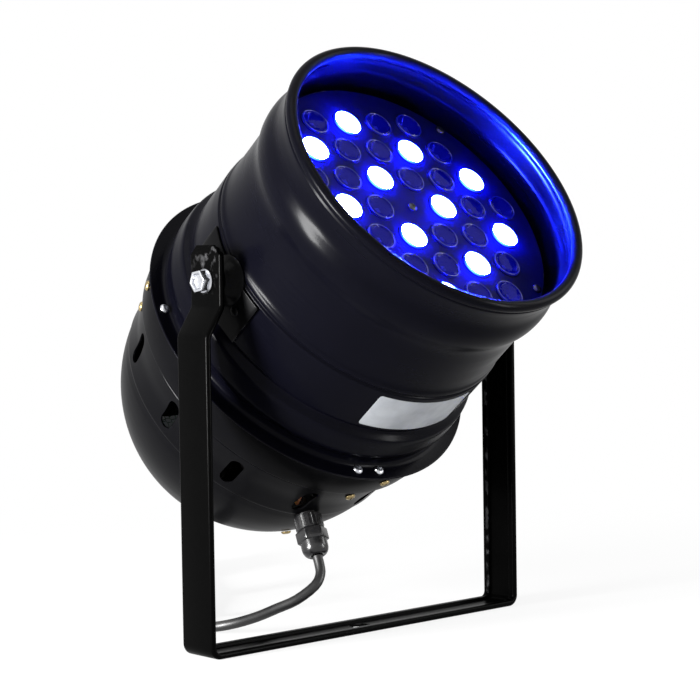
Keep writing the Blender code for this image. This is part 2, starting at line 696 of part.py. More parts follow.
def build_pivot(side, name):
    """Saddle bracket, rivets, bolt, washer and nut of one side; side is -1 on the left."""
    steps = 9
    turn = [math.degrees(BRACKET_FROM + (BRACKET_TO - BRACKET_FROM) * index / (steps - 1))
            for index in range(steps)]
    outline = [(side * radius * math.sin(math.radians(a)), -radius * math.cos(math.radians(a)))
               for radius, angles in ((BRACKET_RADIUS, turn),
                                      (BRACKET_RADIUS + BRACKET_SHEET, turn[::-1])) for a in angles]
    sheet = prism(f"bracket_{name}", [outline], BAND_REAR, BAND_FRONT - BRACKET_SETBACK)
    saddle = solid(f"bracket_{name}", sheet, black_steel, can)
    line = pivot_line(side)

    def boss(shape):
        """Add the tapered boss that the washer bears on."""
        cylinder(shape, BOSS_ROOT, BRACKET_RADIUS + BRACKET_SHEET / 4, PAD_FACE, 20, line, BOSS_TOP)

    combine(saddle, guide(f"boss_{name}", mesh_from(f"boss_{name}", boss), can), "UNION")
    under = cylinder_mesh(f"boss_relief_{name}", (BRACKET_RADIUS, BAND_REAR * 2, BAND_FRONT * 3, 72, None))
    combine(saddle, guide(f"boss_relief_{name}", under, can))
    bore = BOLT_RADIUS + BOLT_CLEARANCE
    hole = cylinder_mesh(f"boss_bore_{name}", (bore, BAND_RADIUS * 0.8, PAD_FACE * 1.1, 16, line))
    combine(saddle, guide(f"boss_bore_{name}", hole, can))
    combine(saddle, shell_holes(f"bracket_rivets_{name}", rivet_places(side), RIVET_SHANK_RADIUS + SEAT))
    head = BRACKET_SHEET + SEAT
    for index, matrix in enumerate(rivet_places(side)):
        shank = (RIVET_SHANK_RADIUS, -SHELL - RIVET_TAIL, head + SEAT, 8, None)
        rivet = solid(f"rivet_{name}_{index + 1}", cylinder_mesh("rivet", shank), black_steel, can, matrix)
        cap = mesh_from("rivet_cap", lambda shape: cylinder(
            shape, RIVET_HEAD_RADIUS, head, head + RIVET_CAP, 10, None, RIVET_HEAD_RADIUS * 0.55))
        combine(rivet, guide(f"rivet_cap_{name}_{index}", cap, can, matrix), "UNION")

    washer = prism(f"washer_{name}", [circle((0, 0), WASHER_RADIUS, 16), circle((0, 0), bore, 12)],
                   PAD_FACE + SEAT, PAD_FACE + SEAT + WASHER_SHEET)
    solid(f"washer_{name}", washer, black_plastic, can, line)

    seat = EAR_OUTER + SEAT
    flange = cylinder_mesh(f"bolt_{name}", (BOLT_FLANGE_RADIUS, seat, seat + BOLT_FLANGE, 20, None))
    bolt = solid(f"bolt_{name}", flange, zinc, can, line)
    hexagon = cylinder_mesh(f"bolt_hex_{name}", (BOLT_HEX / math.sqrt(3), seat + BOLT_FLANGE * 0.6,
                                                 seat + BOLT_HEAD, 6, None))
    shank = cylinder_mesh(f"bolt_shank_{name}", (BOLT_RADIUS, seat - BOLT_LENGTH,
                                                 seat + BOLT_FLANGE * 0.8, 12, None))
    dish = cylinder_mesh(f"bolt_dish_{name}", (BOLT_HEX * 0.36, seat + BOLT_HEAD - BOLT_DISH,
                                               seat + BOLT_HEAD * 1.2, 14, None))
    combine(bolt, guide(f"bolt_hex_{name}", hexagon, can, line), "UNION")
    combine(bolt, guide(f"bolt_shank_{name}", shank, can, line), "UNION")
    combine(bolt, guide(f"bolt_dish_{name}", dish, can, line))

    inside = math.sqrt((BAND_RADIUS - SHELL) ** 2 - (BOLT_HEX / math.sqrt(3)) ** 2) - SEAT
    nut = prism(f"nut_{name}", [circle((0, 0), BOLT_HEX / math.sqrt(3), 6),
                                circle((0, 0), BOLT_RADIUS + BOLT_CLEARANCE, 16)],
                inside - NUT_HEIGHT, inside)
    solid(f"nut_{name}", nut, zinc, can, line)


def ring_radius(station):
    """Return the outer radius of the tapered rear ring."""
    share = (station - RING_REAR) / (RING_FRONT - SHELL - RING_REAR)
    return RING_REAR_RADIUS + (RING_FRONT_RADIUS - RING_REAR_RADIUS) * share


def dome_radius(station):
    """Return the outer radius of the domed bowl."""
    return DOME_RADIUS * math.sqrt(1 - ((station - DOME_CENTRE) / DOME_DEPTH) ** 2)


def ring_screw_places():
    """Return the frames of the radial screws that clamp the ring to the bowl's skirt."""
    station = RING_FRONT - RING_SCREW_SETBACK
    slope = (ring_radius(RING_FRONT) - RING_REAR_RADIUS) / RING_LENGTH
    return [around(math.radians(-3 + 120 * index), ring_radius(station), station, slope)
            for index in range(3)]


def bowl_screw_places():
    """Return the frames of the radial screws on the slotted band."""
    (near, high), (far, low) = band_steps()[:2]
    slope = (high - low) / (far - near)
    radius = DOME_RADIUS + low + slope * (far - BOWL_SCREW_SETBACK)
    return [around(math.radians(1 + 120 * index), radius, RING_REAR - BOWL_SCREW_SETBACK, slope)
            for index in range(3)]


def band_steps():
    """Return the slotted band's side view: how far behind the ring, and how far outside the dome."""
    steps = [(VENT_BAND * along, VENT_RISE * rise) for along, rise in VENT_CURVE]
    last, rise = steps[-1]
    return steps + [(last + VENT_CREASE, rise - VENT_CREASE)]


def slot_angles():
    """Return the angles of the vent slots round the bowl."""
    return [SLOT_FIRST_ANGLE + math.tau * index / SLOT_COUNT for index in range(SLOT_COUNT)]


def build_rear():
    """Rear ring and slotted bowl with their screws."""
    back = RING_REAR
    ring = turned("rear_ring", [
        (RING_FRONT, BAND_RADIUS + RING_BORE), (RING_FRONT, RING_FRONT_RADIUS - SHELL / 2),
        (RING_FRONT - SHELL, RING_FRONT_RADIUS), (back + SHELL, ring_radius(back + SHELL)),
        (back, RING_REAR_RADIUS - SHELL / 3), (back, RING_REAR_RADIUS - SHELL),
        (RING_FRONT - SHELL, RING_FRONT_RADIUS - SHELL), (RING_FRONT - SHELL, BAND_RADIUS + RING_BORE)],
        black_shell, can)
    combine(ring, shell_holes("ring_flange_holes", flange_screw_places(),
                              SCREW_SHANK_RADIUS + SEAT, 4 * SHELL))
    combine(ring, shell_holes("ring_screw_holes", ring_screw_places(), SCREW_SHANK_RADIUS + SEAT))

    band = [(SKIRT_FRONT, SKIRT_RADIUS), (back - VENT_CREASE / 2, SKIRT_RADIUS)]
    band += [(back - behind, DOME_RADIUS + rise) for behind, rise in band_steps()]
    start = back - VENT_BAND - 2 * VENT_CREASE
    reach = (DOME_CENTRE - start) / DOME_DEPTH
    end = REAR_FACE_REACH / DOME_DEPTH
    turns = [math.asin(reach) + (math.asin(end) - math.asin(reach)) * index / 6 for index in range(7)]
    dome = [(DOME_CENTRE - DOME_DEPTH * math.sin(turn), DOME_RADIUS * math.cos(turn)) for turn in turns]
    plain = [band[0], band[1], band[3], band[4], band[5], dome[0]] + dome[1::2]
    inner = offset_line(plain, SHELL)
    face = [(REAR_FACE, PANEL_OPENING), (REAR_FACE + SHELL, PANEL_OPENING)]
    last = (REAR_FACE + SHELL, dome_radius(REAR_FACE + SHELL) - SHELL)
    inner = [(x, min(r, SKIRT_RADIUS - SHELL)) for x, r in inner[:-1]] + [last]
    bowl = turned("rear_bowl", band + dome + face + inner[::-1], black_shell, can)

    half = (SLOT_LENGTH - SLOT_WIDTH) / 2
    stadium = (arc((half, 0), SLOT_WIDTH / 2, -90, 90, 4) + arc((-half, 0), SLOT_WIDTH / 2, 90, 270, 4))
    slot = prism("slot", [stadium], -0.010, 0.010)

    def slots(shape):
        """Add one slot cutter at each angle."""
        for angle in slot_angles():
            outward = Vector((-math.sin(angle), -math.cos(angle), 0))
            along = Vector((0, 0, 1))
            frame = Matrix((along, outward.cross(along), outward)).transposed().to_4x4()
            copy = slot.copy()
            copy.transform(Matrix.Translation(outward * DOME_RADIUS + along * SLOT_STATION) @ frame)
            shape.from_mesh(copy)

    combine(bowl, guide("vent_slots", mesh_from("vent_slots", slots), can))
    combine(bowl, shell_holes("bowl_screw_holes", ring_screw_places(), SCREW_SHANK_RADIUS + SEAT,
                              RING_SCREW_LENGTH + SKIRT_LAP / 2))
    combine(bowl, shell_holes("bowl_band_holes", bowl_screw_places(), SCREW_SHANK_RADIUS + SEAT))
    combine(bowl, shell_holes("gland_hole", [gland_frame()], GLAND_STUB_RADIUS + SEAT,
                              GLAND_STUB_LENGTH, 24))
    combine(bowl, shell_holes("dome_screw_hole", [dome_screw_place()], SCREW_SHANK_RADIUS + SEAT))
    for index, matrix in enumerate(flange_screw_places()):
        name = f"flange_screw_{index + 1}" if index < 4 else "earth_screw"
        screw(name, matrix, zinc)
    for index, matrix in enumerate(ring_screw_places()):
        screw(f"ring_screw_{index + 1}", matrix, black_steel, RING_SCREW_LENGTH)
    for index, matrix in enumerate(bowl_screw_places()):
        screw(f"bowl_screw_{index + 1}", matrix, black_steel, BOWL_SCREW_LENGTH)
    screw("dome_screw", dome_screw_place(), brass, BOWL_SCREW_LENGTH)


def surface_frame(station, angle):
    """Return a frame on the dome whose +Z is the surface's outward normal."""
    radius = dome_radius(station)
    slope = (station - DOME_CENTRE) / DOME_DEPTH ** 2
    outward = Vector((-math.sin(angle), -math.cos(angle), 0))
    normal = (outward * radius / DOME_RADIUS ** 2 + Vector((0, 0, slope))).normalized()
    spot = outward * radius + Vector((0, 0, station))
    return Matrix.Translation(spot) @ normal.to_track_quat("Z", "Y").to_matrix().to_4x4()


def gland_frame():
    """Return the gland's frame on the bowl."""
    return surface_frame(GLAND_STATION, GLAND_ANGLE)


def dome_screw_place():
    """Return the frame of the brass screw on the dome."""
    return surface_frame(DOME_CENTRE - DOME_SCREW_SETBACK, math.radians(2))


def build_gland():
    """Cable gland: body through the wall, domed cap nut and locknut."""
    frame = gland_frame()
    bore = CORD_RADIUS + SEAT
    neck = (GLAND_NECK_RADIUS, GLAND_SEAT, GLAND_NECK_HEIGHT, 24, None)
    body = solid("gland_body", cylinder_mesh("gland_body", neck), black_plastic, can, frame)
    stub = cylinder_mesh("gland_stub", (GLAND_STUB_RADIUS, -GLAND_STUB_LENGTH, GLAND_NECK_HEIGHT / 2,
                                        24, None))
    combine(body, guide("gland_stub", stub, can, frame), "UNION")
    through = cylinder_mesh("gland_bore", (bore, -GLAND_STUB_LENGTH * 1.1, GLAND_TOP * 1.1, 16, None))
    bored = guide("gland_bore", through, can, frame)
    combine(body, bored)

    low = GLAND_NECK_HEIGHT + SEAT
    shoulder = low + GLAND_HEX_HEIGHT
    hexagon = (GLAND_HEX / math.sqrt(3), low, shoulder, 6, None)
    cap = solid("gland_cap", cylinder_mesh("gland_cap", hexagon), black_plastic, can, frame)
    taper = GLAND_TOP - GLAND_CAP_HEIGHT * 0.53

    def dome(shape):
        """Add the round part of the cap."""
        cylinder(shape, GLAND_CAP_RADIUS, shoulder - GLAND_HEX_HEIGHT / 8, taper, 18)

    def nose(shape):
        """Add the narrowing nose."""
        cylinder(shape, GLAND_CAP_RADIUS * 0.998, taper - GLAND_CAP_HEIGHT / 30, GLAND_TOP, 18, None,
                 GLAND_CAP_RADIUS * 0.62)

    combine(cap, guide("gland_dome", mesh_from("gland_dome", dome), can, frame), "UNION")
    combine(cap, guide("gland_nose", mesh_from("gland_nose", nose), can, frame), "UNION")
    combine(cap, bored)
    wall = dome_radius(GLAND_STATION) - SHELL
    sag = wall - math.sqrt(wall ** 2 - LOCKNUT_HEX ** 2 / 3)
    inner = -SHELL - sag - LOCKNUT_CLEARANCE
    locknut = prism("gland_locknut", [circle((0, 0), LOCKNUT_HEX / math.sqrt(3), 6),
                                      circle((0, 0), GLAND_STUB_RADIUS + SEAT, 24)],
                    inner - LOCKNUT_HEIGHT, inner)
    solid("gland_locknut", locknut, black_plastic, can, frame)


def build_chassis():
    """Chassis disc across the bowl with the power supply on it."""
    radius = SKIRT_RADIUS - SHELL - SEAT
    disc = prism("chassis_plate", [circle((0, 0), radius, ROUND_STEPS)], CHASSIS_FRONT - SHELL,
                 CHASSIS_FRONT)
    solid("chassis_plate", disc, bare_metal, can)
    top = CHASSIS_FRONT - SHELL - SEAT

    def box(shape):
        """Add the power supply's case."""
        block(shape, (SUPPLY_LENGTH, SUPPLY_WIDTH, SUPPLY_HEIGHT),
              (0, SUPPLY_LIFT, top - SUPPLY_HEIGHT / 2))

    solid("power_supply", mesh_from("power_supply", box), bare_metal, can)


def build_panel():
    """Rear panel with a display window, push buttons and signal sockets."""
    back = Matrix.Translation((0, 0, REAR_FACE - SEAT)) @ Matrix.Rotation(math.pi, 4, "Y")
    spots = [((index - (BUTTON_COUNT - 1) / 2) * BUTTON_PITCH, BUTTON_ROW) for index in range(BUTTON_COUNT)]
    sockets = [(-SOCKET_SPREAD, SOCKET_ROW), (SOCKET_SPREAD, SOCKET_ROW)]
    half = (DISPLAY_LENGTH / 2, DISPLAY_WIDTH / 2)
    window = [(x * half[0], DISPLAY_ROW + y * half[1]) for x, y in ((-1, -1), (1, -1), (1, 1), (-1, 1))]
    outlines = [circle((0, 0), PANEL_RADIUS, 24), window]
    outlines += [circle(spot, BUTTON_RADIUS + SEAT, 12) for spot in spots]
    outlines += [circle(spot, SOCKET_RADIUS - SOCKET_LIP + SEAT, 16) for spot in sockets]
    solid("rear_panel", prism("rear_panel", outlines, 0, PANEL_SHEET), black_steel, can, back)

    inset = [(x * (1 - SEAT / half[0]), DISPLAY_ROW + (y - DISPLAY_ROW) * (1 - SEAT / half[1]))
             for x, y in window]
    board_top = -BOARD_STANDOFF
    solid("display", prism("display", [inset], board_top + SEAT, PANEL_SHEET * 0.75), dark_plate, can, back)
    side = PANEL_OPENING * 0.70
    head = DISPLAY_ROW + BOARD_HEAD
    board = [(-side, -BOARD_FOOT), (side, -BOARD_FOOT), (side, head), (-side, head)]
    solid("control_board", prism("control_board", [board], board_top - BOARD_SHEET, board_top), board_white,
          can, back)
    stem = board_top + BUTTON_TRAVEL + BUTTON_SPARE
    for index, (x, y) in enumerate(spots):
        frame = back @ Matrix.Translation((x, y, 0))
        button = solid(f"button_{index + 1}", cylinder_mesh("button", (
            BUTTON_RADIUS, stem, PANEL_SHEET + BUTTON_PROUD, 10, None)), black_plastic, can, frame)
        collar = cylinder_mesh("button_collar", (BUTTON_RADIUS + BUTTON_COLLAR_LIP, -BUTTON_COLLAR, -SEAT,
                                                 10, None))
        combine(button, guide(f"button_collar_{index + 1}", collar, can, frame), "UNION")
    for name, (x, y) in zip(("signal_in", "signal_out"), sockets):
        frame = back @ Matrix.Translation((x, y, 0))
        front = PANEL_SHEET + SEAT
        face = (SOCKET_RADIUS, front, front + SOCKET_LIP, 14, None)
        socket = solid(name, cylinder_mesh(name, face), black_plastic, can, frame)
        core = cylinder_mesh(name + "_core", (SOCKET_RADIUS - SOCKET_LIP, -SOCKET_DEPTH,
                                              front + SOCKET_LIP / 2, 14, None))
        well = cylinder_mesh(name + "_well", (SOCKET_BORE, -SOCKET_DEPTH * 0.7, front + 5 * SOCKET_LIP,
                                              14, None))
        combine(socket, guide(name + "_core", core, can, frame), "UNION")
        combine(socket, guide(name + "_well", well, can, frame))
        pins = cylinder_mesh(name + "_pins", *[
            (SOCKET_PIN_RADIUS, -SOCKET_DEPTH * 0.8, -PANEL_SHEET / 2, 6, Matrix.Translation((px, py, 0)))
            for px, py in circle((0, 0), SOCKET_PIN_RING, 3)])
        combine(socket, guide(name + "_pins", pins, can, frame), "UNION")


def smooth_route(points, spacing):
    """Return evenly spaced points on a smooth curve through the given points."""
    padded = [2 * points[0] - points[1]] + points + [2 * points[-1] - points[-2]]
    fine = []
    for a, b, c, d in zip(padded, padded[1:], padded[2:], padded[3:]):
        for index in range(24):
            t = index / 24
            fine.append(0.5 * ((2 * b) + (c - a) * t + (2 * a - 5 * b + 4 * c - d) * t * t
                               + (3 * b - a - 3 * c + d) * t ** 3))
    fine.append(points[-1])
    lengths = [0.0]
    for first, second in zip(fine, fine[1:]):
        lengths.append(lengths[-1] + (second - first).length)
    count = max(2, round(lengths[-1] / spacing)) + 1
    route = []
    place_now = 0
    for index in range(count):
        goal = lengths[-1] * index / (count - 1)
        while place_now < len(lengths) - 2 and lengths[place_now + 1] < goal:
            place_now += 1
        span = lengths[place_now + 1] - lengths[place_now]
        share = (goal - lengths[place_now]) / span
        route.append(fine[place_now].lerp(fine[place_now + 1], min(1.0, share)))
    return route, lengths[-1]


def tube(name, points, radius, resolution, finish):
    """Add a round tube with filled ends along a line of points."""
    curve = bpy.data.curves.new(name, "CURVE")
    curve.dimensions = "3D"
    curve.bevel_depth = radius
    curve.bevel_resolution = resolution
    curve.use_fill_caps = True
    spline = curve.splines.new("POLY")
    spline.points.add(len(points) - 1)
    for point, spot in zip(spline.points, points):
        point.co = (*spot, 1.0)
    curve.materials.append(finish)
    return place(bpy.data.objects.new(name, curve), parts)


def hank_points():
    """Return the centreline of the hank: a run out, a climbing run back and a run out."""
    side = Vector((HANK_HEADING.y, -HANK_HEADING.x, 0))
    fold = HANK_FOLD / 2
    line = []

    def add(along, height, across):
        """Add one point, along the hank, over the floor and across it."""
        over = Vector((0, 0, CORD_LOW + height))
        line.append(HANK_START + HANK_HEADING * along + over + side * across)

    half = HANK_STEP / 2
    add(0, 0, -half)
    straight = 6
    turn_points = HANK_POINTS // 2 - straight // 2
    first = HANK_ENDS + fold
    last = first + HANK_RUN

    def waist(along):
        """Return how far a run is drawn in towards the middle of the hank."""
        share = min(1.0, max(0.0, (along - first) / HANK_RUN))
        return HANK_WAIST * HANK_FOLD * math.sin(math.pi * share) ** 2

    def run(start, end, height, inward, across_start, across_end):
        """Add a run between the two folds, from one side step to another."""
        for index in range(straight + 1):
            share = index / straight
            along = start + (end - start) * share
            ease = share * share * (3 - 2 * share)
            add(along, height + inward * waist(along), across_start + (across_end - across_start) * ease)

    def turn(centre, sense, across, start_angle):
        """Add a half turn at one end of the hank."""
        for index in range(1, turn_points):
            angle = start_angle + math.pi * index / turn_points
            add(centre + sense * fold * math.sin(angle - start_angle), fold - fold * math.cos(angle), across)

    run(HANK_ENDS, last, 0, 1, -half, -half)
    turn(last, 1, -half, 0)
    run(last, first, HANK_FOLD, -1, -half, half)
    turn(first, -1, half, math.pi)
    run(first, last + fold + HANK_ENDS, 0, 1, half, half)
    return line


def least_gap(points, spacing=4):
    """Return the least gap between stretches of a tube that are apart along it."""
    dense = []
    for first, second in zip(points, points[1:]):
        dense += [first.lerp(second, index / spacing) for index in range(spacing)]
    lengths = [0.0]
    for first, second in zip(dense, dense[1:]):
        lengths.append(lengths[-1] + (second - first).length)
    return min((a - b).length - CORD_DIAMETER for i, a in enumerate(dense) for j, b in enumerate(dense)
               if lengths[j] - lengths[i] > 4 * CORD_DIAMETER)


def build_cord():
    """The free lead: the stretch from the gland, the tied hank and the plug."""
    gland = can.matrix_basis @ gland_frame()
    outward = gland.to_3x3() @ Vector((0, 0, 1))
    mouth = gland.translation + outward * (GLAND_TOP + SEAT)
    hank = hank_points()
    entry = hank[0] - HANK_HEADING * SEAT
    route = [mouth, mouth + outward * CORD_DIAMETER,
             Vector((-0.0245, 0.0108, 0.0405)), Vector((-0.0298, 0.0118, 0.0308)),
             Vector((-0.0400, 0.0179, 0.0220)), Vector((-0.0500, 0.0265, 0.0165)),
             Vector((-0.0600, 0.0345, 0.0115)), Vector((-0.0706, 0.0440, 0.0075)),
             Vector((-0.0775, 0.0560, 0.0046)), Vector((-0.0772, 0.0680, CORD_LOW)),
             entry - HANK_HEADING * 0.025, entry - HANK_HEADING * 0.012, entry]
    stretch, length = smooth_route(route, 2.4 * CORD_DIAMETER)
    tube("cord_stretch", stretch, CORD_RADIUS, 2, cord_rubber)
    tube("cord_hank", hank, CORD_RADIUS, 1, cord_rubber)
    print("least gap of the hank to itself, mm:", round(least_gap(hank) * 1000, 2))
    hank_length = sum((b - a).length for a, b in zip(hank, hank[1:]))
    print("lead, m:", round(length + hank_length, 3))
    build_plug(hank[-1] + HANK_HEADING * SEAT)
    build_tie()


def build_plug(start):
    """Slim plug at the end of the lead, standing on its edge, with its two contacts."""
    heading = Matrix((HANK_HEADING, Vector((-HANK_HEADING.y, HANK_HEADING.x, 0)), Vector((0, 0, 1))))
    frame = Matrix.Translation(start) @ heading.transposed().to_4x4()
    lift = PLUG_HEIGHT / 2 - CORD_RADIUS
    sleeve = cylinder_mesh("plug_sleeve", (CORD_RADIUS + PLUG_SLEEVE_WALL, 0, PLUG_SLEEVE * 7 / 6, 16,
                                           Matrix.Rotation(math.pi / 2, 4, "Y")))
    plug = solid("cord_plug", sleeve, black_plastic, None, frame)
    body = mesh_from("plug_body", lambda shape: block(
        shape, (PLUG_LENGTH, PLUG_WIDTH, PLUG_HEIGHT), (PLUG_SLEEVE + PLUG_LENGTH / 2, 0, lift)))
    body_guide = guide("plug_body", body, None, frame)
    edges = body_guide.modifiers.new("edges", "BEVEL")
    edges.width = PLUG_EDGE
    edges.segments = 2
    combine(plug, body_guide, "UNION")
    for index, side in enumerate((-1, 1)):
        contact = cylinder_mesh(f"plug_contact_{index + 1}", (
            PLUG_CONTACT_RADIUS, SEAT, PLUG_CONTACT_LENGTH, 12,
            Matrix.Translation((PLUG_SLEEVE + PLUG_LENGTH, 0, lift + side * PLUG_CONTACT_PITCH / 2))
            @ Matrix.Rotation(math.pi / 2, 4, "Y")))
        solid(f"plug_contact_{index + 1}", contact, brass, None, frame)


def build_tie():
    """Flat strap round the waist of the hank."""
    middle = HANK_ENDS + HANK_FOLD / 2 + HANK_RUN / 2
    drawn = HANK_WAIST * HANK_FOLD
    centre = HANK_START + HANK_HEADING * middle + Vector((0, 0, CORD_LOW + HANK_FOLD / 2))
    half_height = HANK_FOLD / 2 - drawn + CORD_RADIUS + SEAT
    half_width = HANK_STEP / 2 + CORD_RADIUS + SEAT
    loops = []
    for grow in (0.0, TIE_SHEET):
        wide = half_width + grow
        tall = half_height + grow
        corner = CORD_RADIUS * 0.55 + grow
        line = []
        for sx, sy, start in ((1, 1, 0), (-1, 1, 90), (-1, -1, 180), (1, -1, 270)):
            line += arc((sx * (wide - corner), sy * (tall - corner)), corner, start, start + 90, 4)
        loops.append(line)
    across = Vector((HANK_HEADING.y, -HANK_HEADING.x, 0))
    frame = Matrix((across, Vector((0, 0, 1)), HANK_HEADING)).transposed().to_4x4()
    strap = prism("cord_tie", loops, -TIE_WIDTH / 2, TIE_WIDTH / 2)
    solid("cord_tie", strap, black_plastic, None, Matrix.Translation(centre) @ frame)


build_yoke()
build_barrel()
build_mouth()
for side_sign, side_name in ((-1, "left"), (1, "right")):
    build_pivot(side_sign, side_name)
build_rear()
build_gland()
build_chassis()
build_panel()
build_cord()
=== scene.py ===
"""A par can with 36 LED lenses, held by a hemmed steel yoke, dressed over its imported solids.

Lengths are in metres and +Z is up. The origin is the centre of the yoke's clamp hole. The can
is modelled in its own frame, whose origin is the tilt pivot, whose +Z runs out of the front
and whose +Y is up on the object. A station is a distance along that +Z, and an angle round the
can is counted from its underside towards -X. A profile's points are (height, radius) along the
axis that it is turned about, which for the can's own shells is (station, radius).
"""

import logging
import math
from collections.abc import Sequence
from dataclasses import dataclass, field
from enum import Enum
from functools import cache

import bmesh
import bpy
from bmesh.types import BMEdge, BMesh, BMVert
from bpy.types import ID, Material, Mesh, Node, NodeSocket, NodeTree, Object
from mathutils import Matrix, Vector


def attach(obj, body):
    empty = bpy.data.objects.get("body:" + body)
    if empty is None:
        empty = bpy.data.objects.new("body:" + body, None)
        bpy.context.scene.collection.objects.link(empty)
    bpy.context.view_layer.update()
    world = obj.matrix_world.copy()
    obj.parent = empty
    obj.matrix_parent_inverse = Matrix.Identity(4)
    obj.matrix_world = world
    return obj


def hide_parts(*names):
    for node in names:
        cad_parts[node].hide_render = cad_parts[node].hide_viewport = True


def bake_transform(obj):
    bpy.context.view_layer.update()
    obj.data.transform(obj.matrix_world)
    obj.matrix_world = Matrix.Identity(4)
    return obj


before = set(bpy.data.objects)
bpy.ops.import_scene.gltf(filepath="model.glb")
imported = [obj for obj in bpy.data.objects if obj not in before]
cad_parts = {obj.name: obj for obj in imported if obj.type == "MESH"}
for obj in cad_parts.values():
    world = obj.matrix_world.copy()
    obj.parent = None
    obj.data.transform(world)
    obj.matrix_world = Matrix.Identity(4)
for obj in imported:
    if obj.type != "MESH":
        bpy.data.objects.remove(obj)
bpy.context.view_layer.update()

log = logging.getLogger("par_can")

Point = tuple[float, float]
Colour = tuple[float, float, float]

ROUND_STEPS = 192
SEAT = 0.0003
SHELL = 0.0012
BAND_RADIUS = 0.1072
PLATE_STATION = 0.070
UP = Vector((0.0, 0.0, 1.0))
STILL = Matrix.Identity(4)
QUARTER = math.pi / 2


class Body(Enum):
    """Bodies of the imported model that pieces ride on."""

    YOKE = "yoke"
    CAN = "can"


class Side(Enum):
    """The two ends of the tilt axis."""

    LEFT = -1
    RIGHT = 1

    @property
    def word(self) -> str:
        """Return the side's name as the nodes spell it."""
        return self.name.lower()


def shift(x: float = 0.0, y: float = 0.0, z: float = 0.0) -> Matrix:
    """Return a move along the axes."""
    return Matrix.Translation((x, y, z))


def spin(angle: float, axis: str = "Z") -> Matrix:
    """Return a turn about an axis."""
    return Matrix.Rotation(angle, 4, axis)


def frame_at(spot: Sequence[float], across: Vector, along: Vector, out: Vector) -> Matrix:
    """Return a frame at a place, with its three axes given."""
    return Matrix.Translation(spot) @ Matrix((across, along, out)).transposed().to_4x4()


def ray(angle: float) -> Vector:
    """Return the direction out of the can at an angle round it."""
    return Vector((-math.sin(angle), -math.cos(angle), 0.0))


def diagonals(radius: float, height: float) -> list[Matrix]:
    """Return four places on the diagonals of a circle about Z."""
    turns = [math.radians(45 + 90 * index) for index in range(4)]
    return [shift(radius * math.cos(turn), radius * math.sin(turn), height) for turn in turns]


def numbered(stem: str, count: int) -> list[str]:
    """Return names that share a stem and are numbered from 1."""
    return [f"{stem}_{index + 1}" for index in range(count)]


def stand(name: str, data: ID) -> Object:
    """Put data in the scene as an object.

    Args:
        name: Name of the object.
        data: Mesh, curve, camera or lamp that it holds.

    Returns:
        The object.
    """
    made = bpy.data.objects.new(name, data)
    bpy.context.scene.collection.objects.link(made)
    return made


def worked_out(holder: Object) -> Mesh:
    """Return a new mesh of what an object's curve or modifiers make."""
    bpy.context.view_layer.update()
    return bpy.data.meshes.new_from_object(holder.evaluated_get(bpy.context.evaluated_depsgraph_get()))


@dataclass(frozen=True)
class CanPlace:
    """Where the tilting can stands, and frames on its round surfaces."""

    pivot_height: float = 0.2323
    tilt: float = math.radians(39.12)

    @property
    def matrix(self) -> Matrix:
        """Return the can's frame in the world."""
        return shift(z=self.pivot_height) @ spin(QUARTER - self.tilt, "X")

    def around(self, angle: float, radius: float, station: float, slope: float = 0.0) -> Matrix:
        """Return a frame on a round surface, +Z square to it.

        Args:
            angle: Angle round the can in radians.
            radius: Distance from the can's axis.
            station: Distance along the can's axis.
            slope: How fast the surface's radius grows with station.

        Returns:
            The frame, in the can's own coordinates.
        """
        turn = (ray(angle) - UP * slope).normalized().to_track_quat("Z", "Y")
        return Matrix.Translation(ray(angle) * radius + UP * station) @ turn.to_matrix().to_4x4()

    def pivot_line(self, side: Side) -> Matrix:
        """Return a frame on the tilt axis, +Z outwards on one side."""
        return spin(side.value * QUARTER, "Y")


CAN = CanPlace()


def arc(centre: Point, radius: float, start: float, end: float, count: int) -> list[Point]:
    """Return points on an arc.

    Args:
        centre: Centre of the arc.
        radius: Radius of the arc.
        start: First angle in degrees.
        end: Last angle in degrees.
        count: Number of points.

    Returns:
        The points in order.
    """
    angles = [math.radians(start + (end - start) * index / (count - 1)) for index in range(count)]
    return [(centre[0] + radius * math.cos(a), centre[1] + radius * math.sin(a)) for a in angles]


def flow(points: Sequence[Sequence[float]], spans: int) -> list[Vector]:
    """Return a smooth line through points, with a few steps in each span.

    Args:
        points: Points that the line passes through, flat or in space.
        spans: Steps between two neighbouring points.

    Returns:
        The denser line, ends included.
    """
    line = [Vector(p) for p in points]
    padded = [2 * line[0] - line[1]] + line + [2 * line[-1] - line[-2]]
    dense: list[Vector] = []
    for a, b, c, d in zip(padded, padded[1:], padded[2:], padded[3:]):
        for t in (index / spans for index in range(spans)):
            dense.append(0.5 * (2 * b + (c - a) * t + (2 * a - 5 * b + 4 * c - d) * t * t
                                + (3 * b - a - 3 * c + d) * t ** 3))
    return dense + [line[-1]]


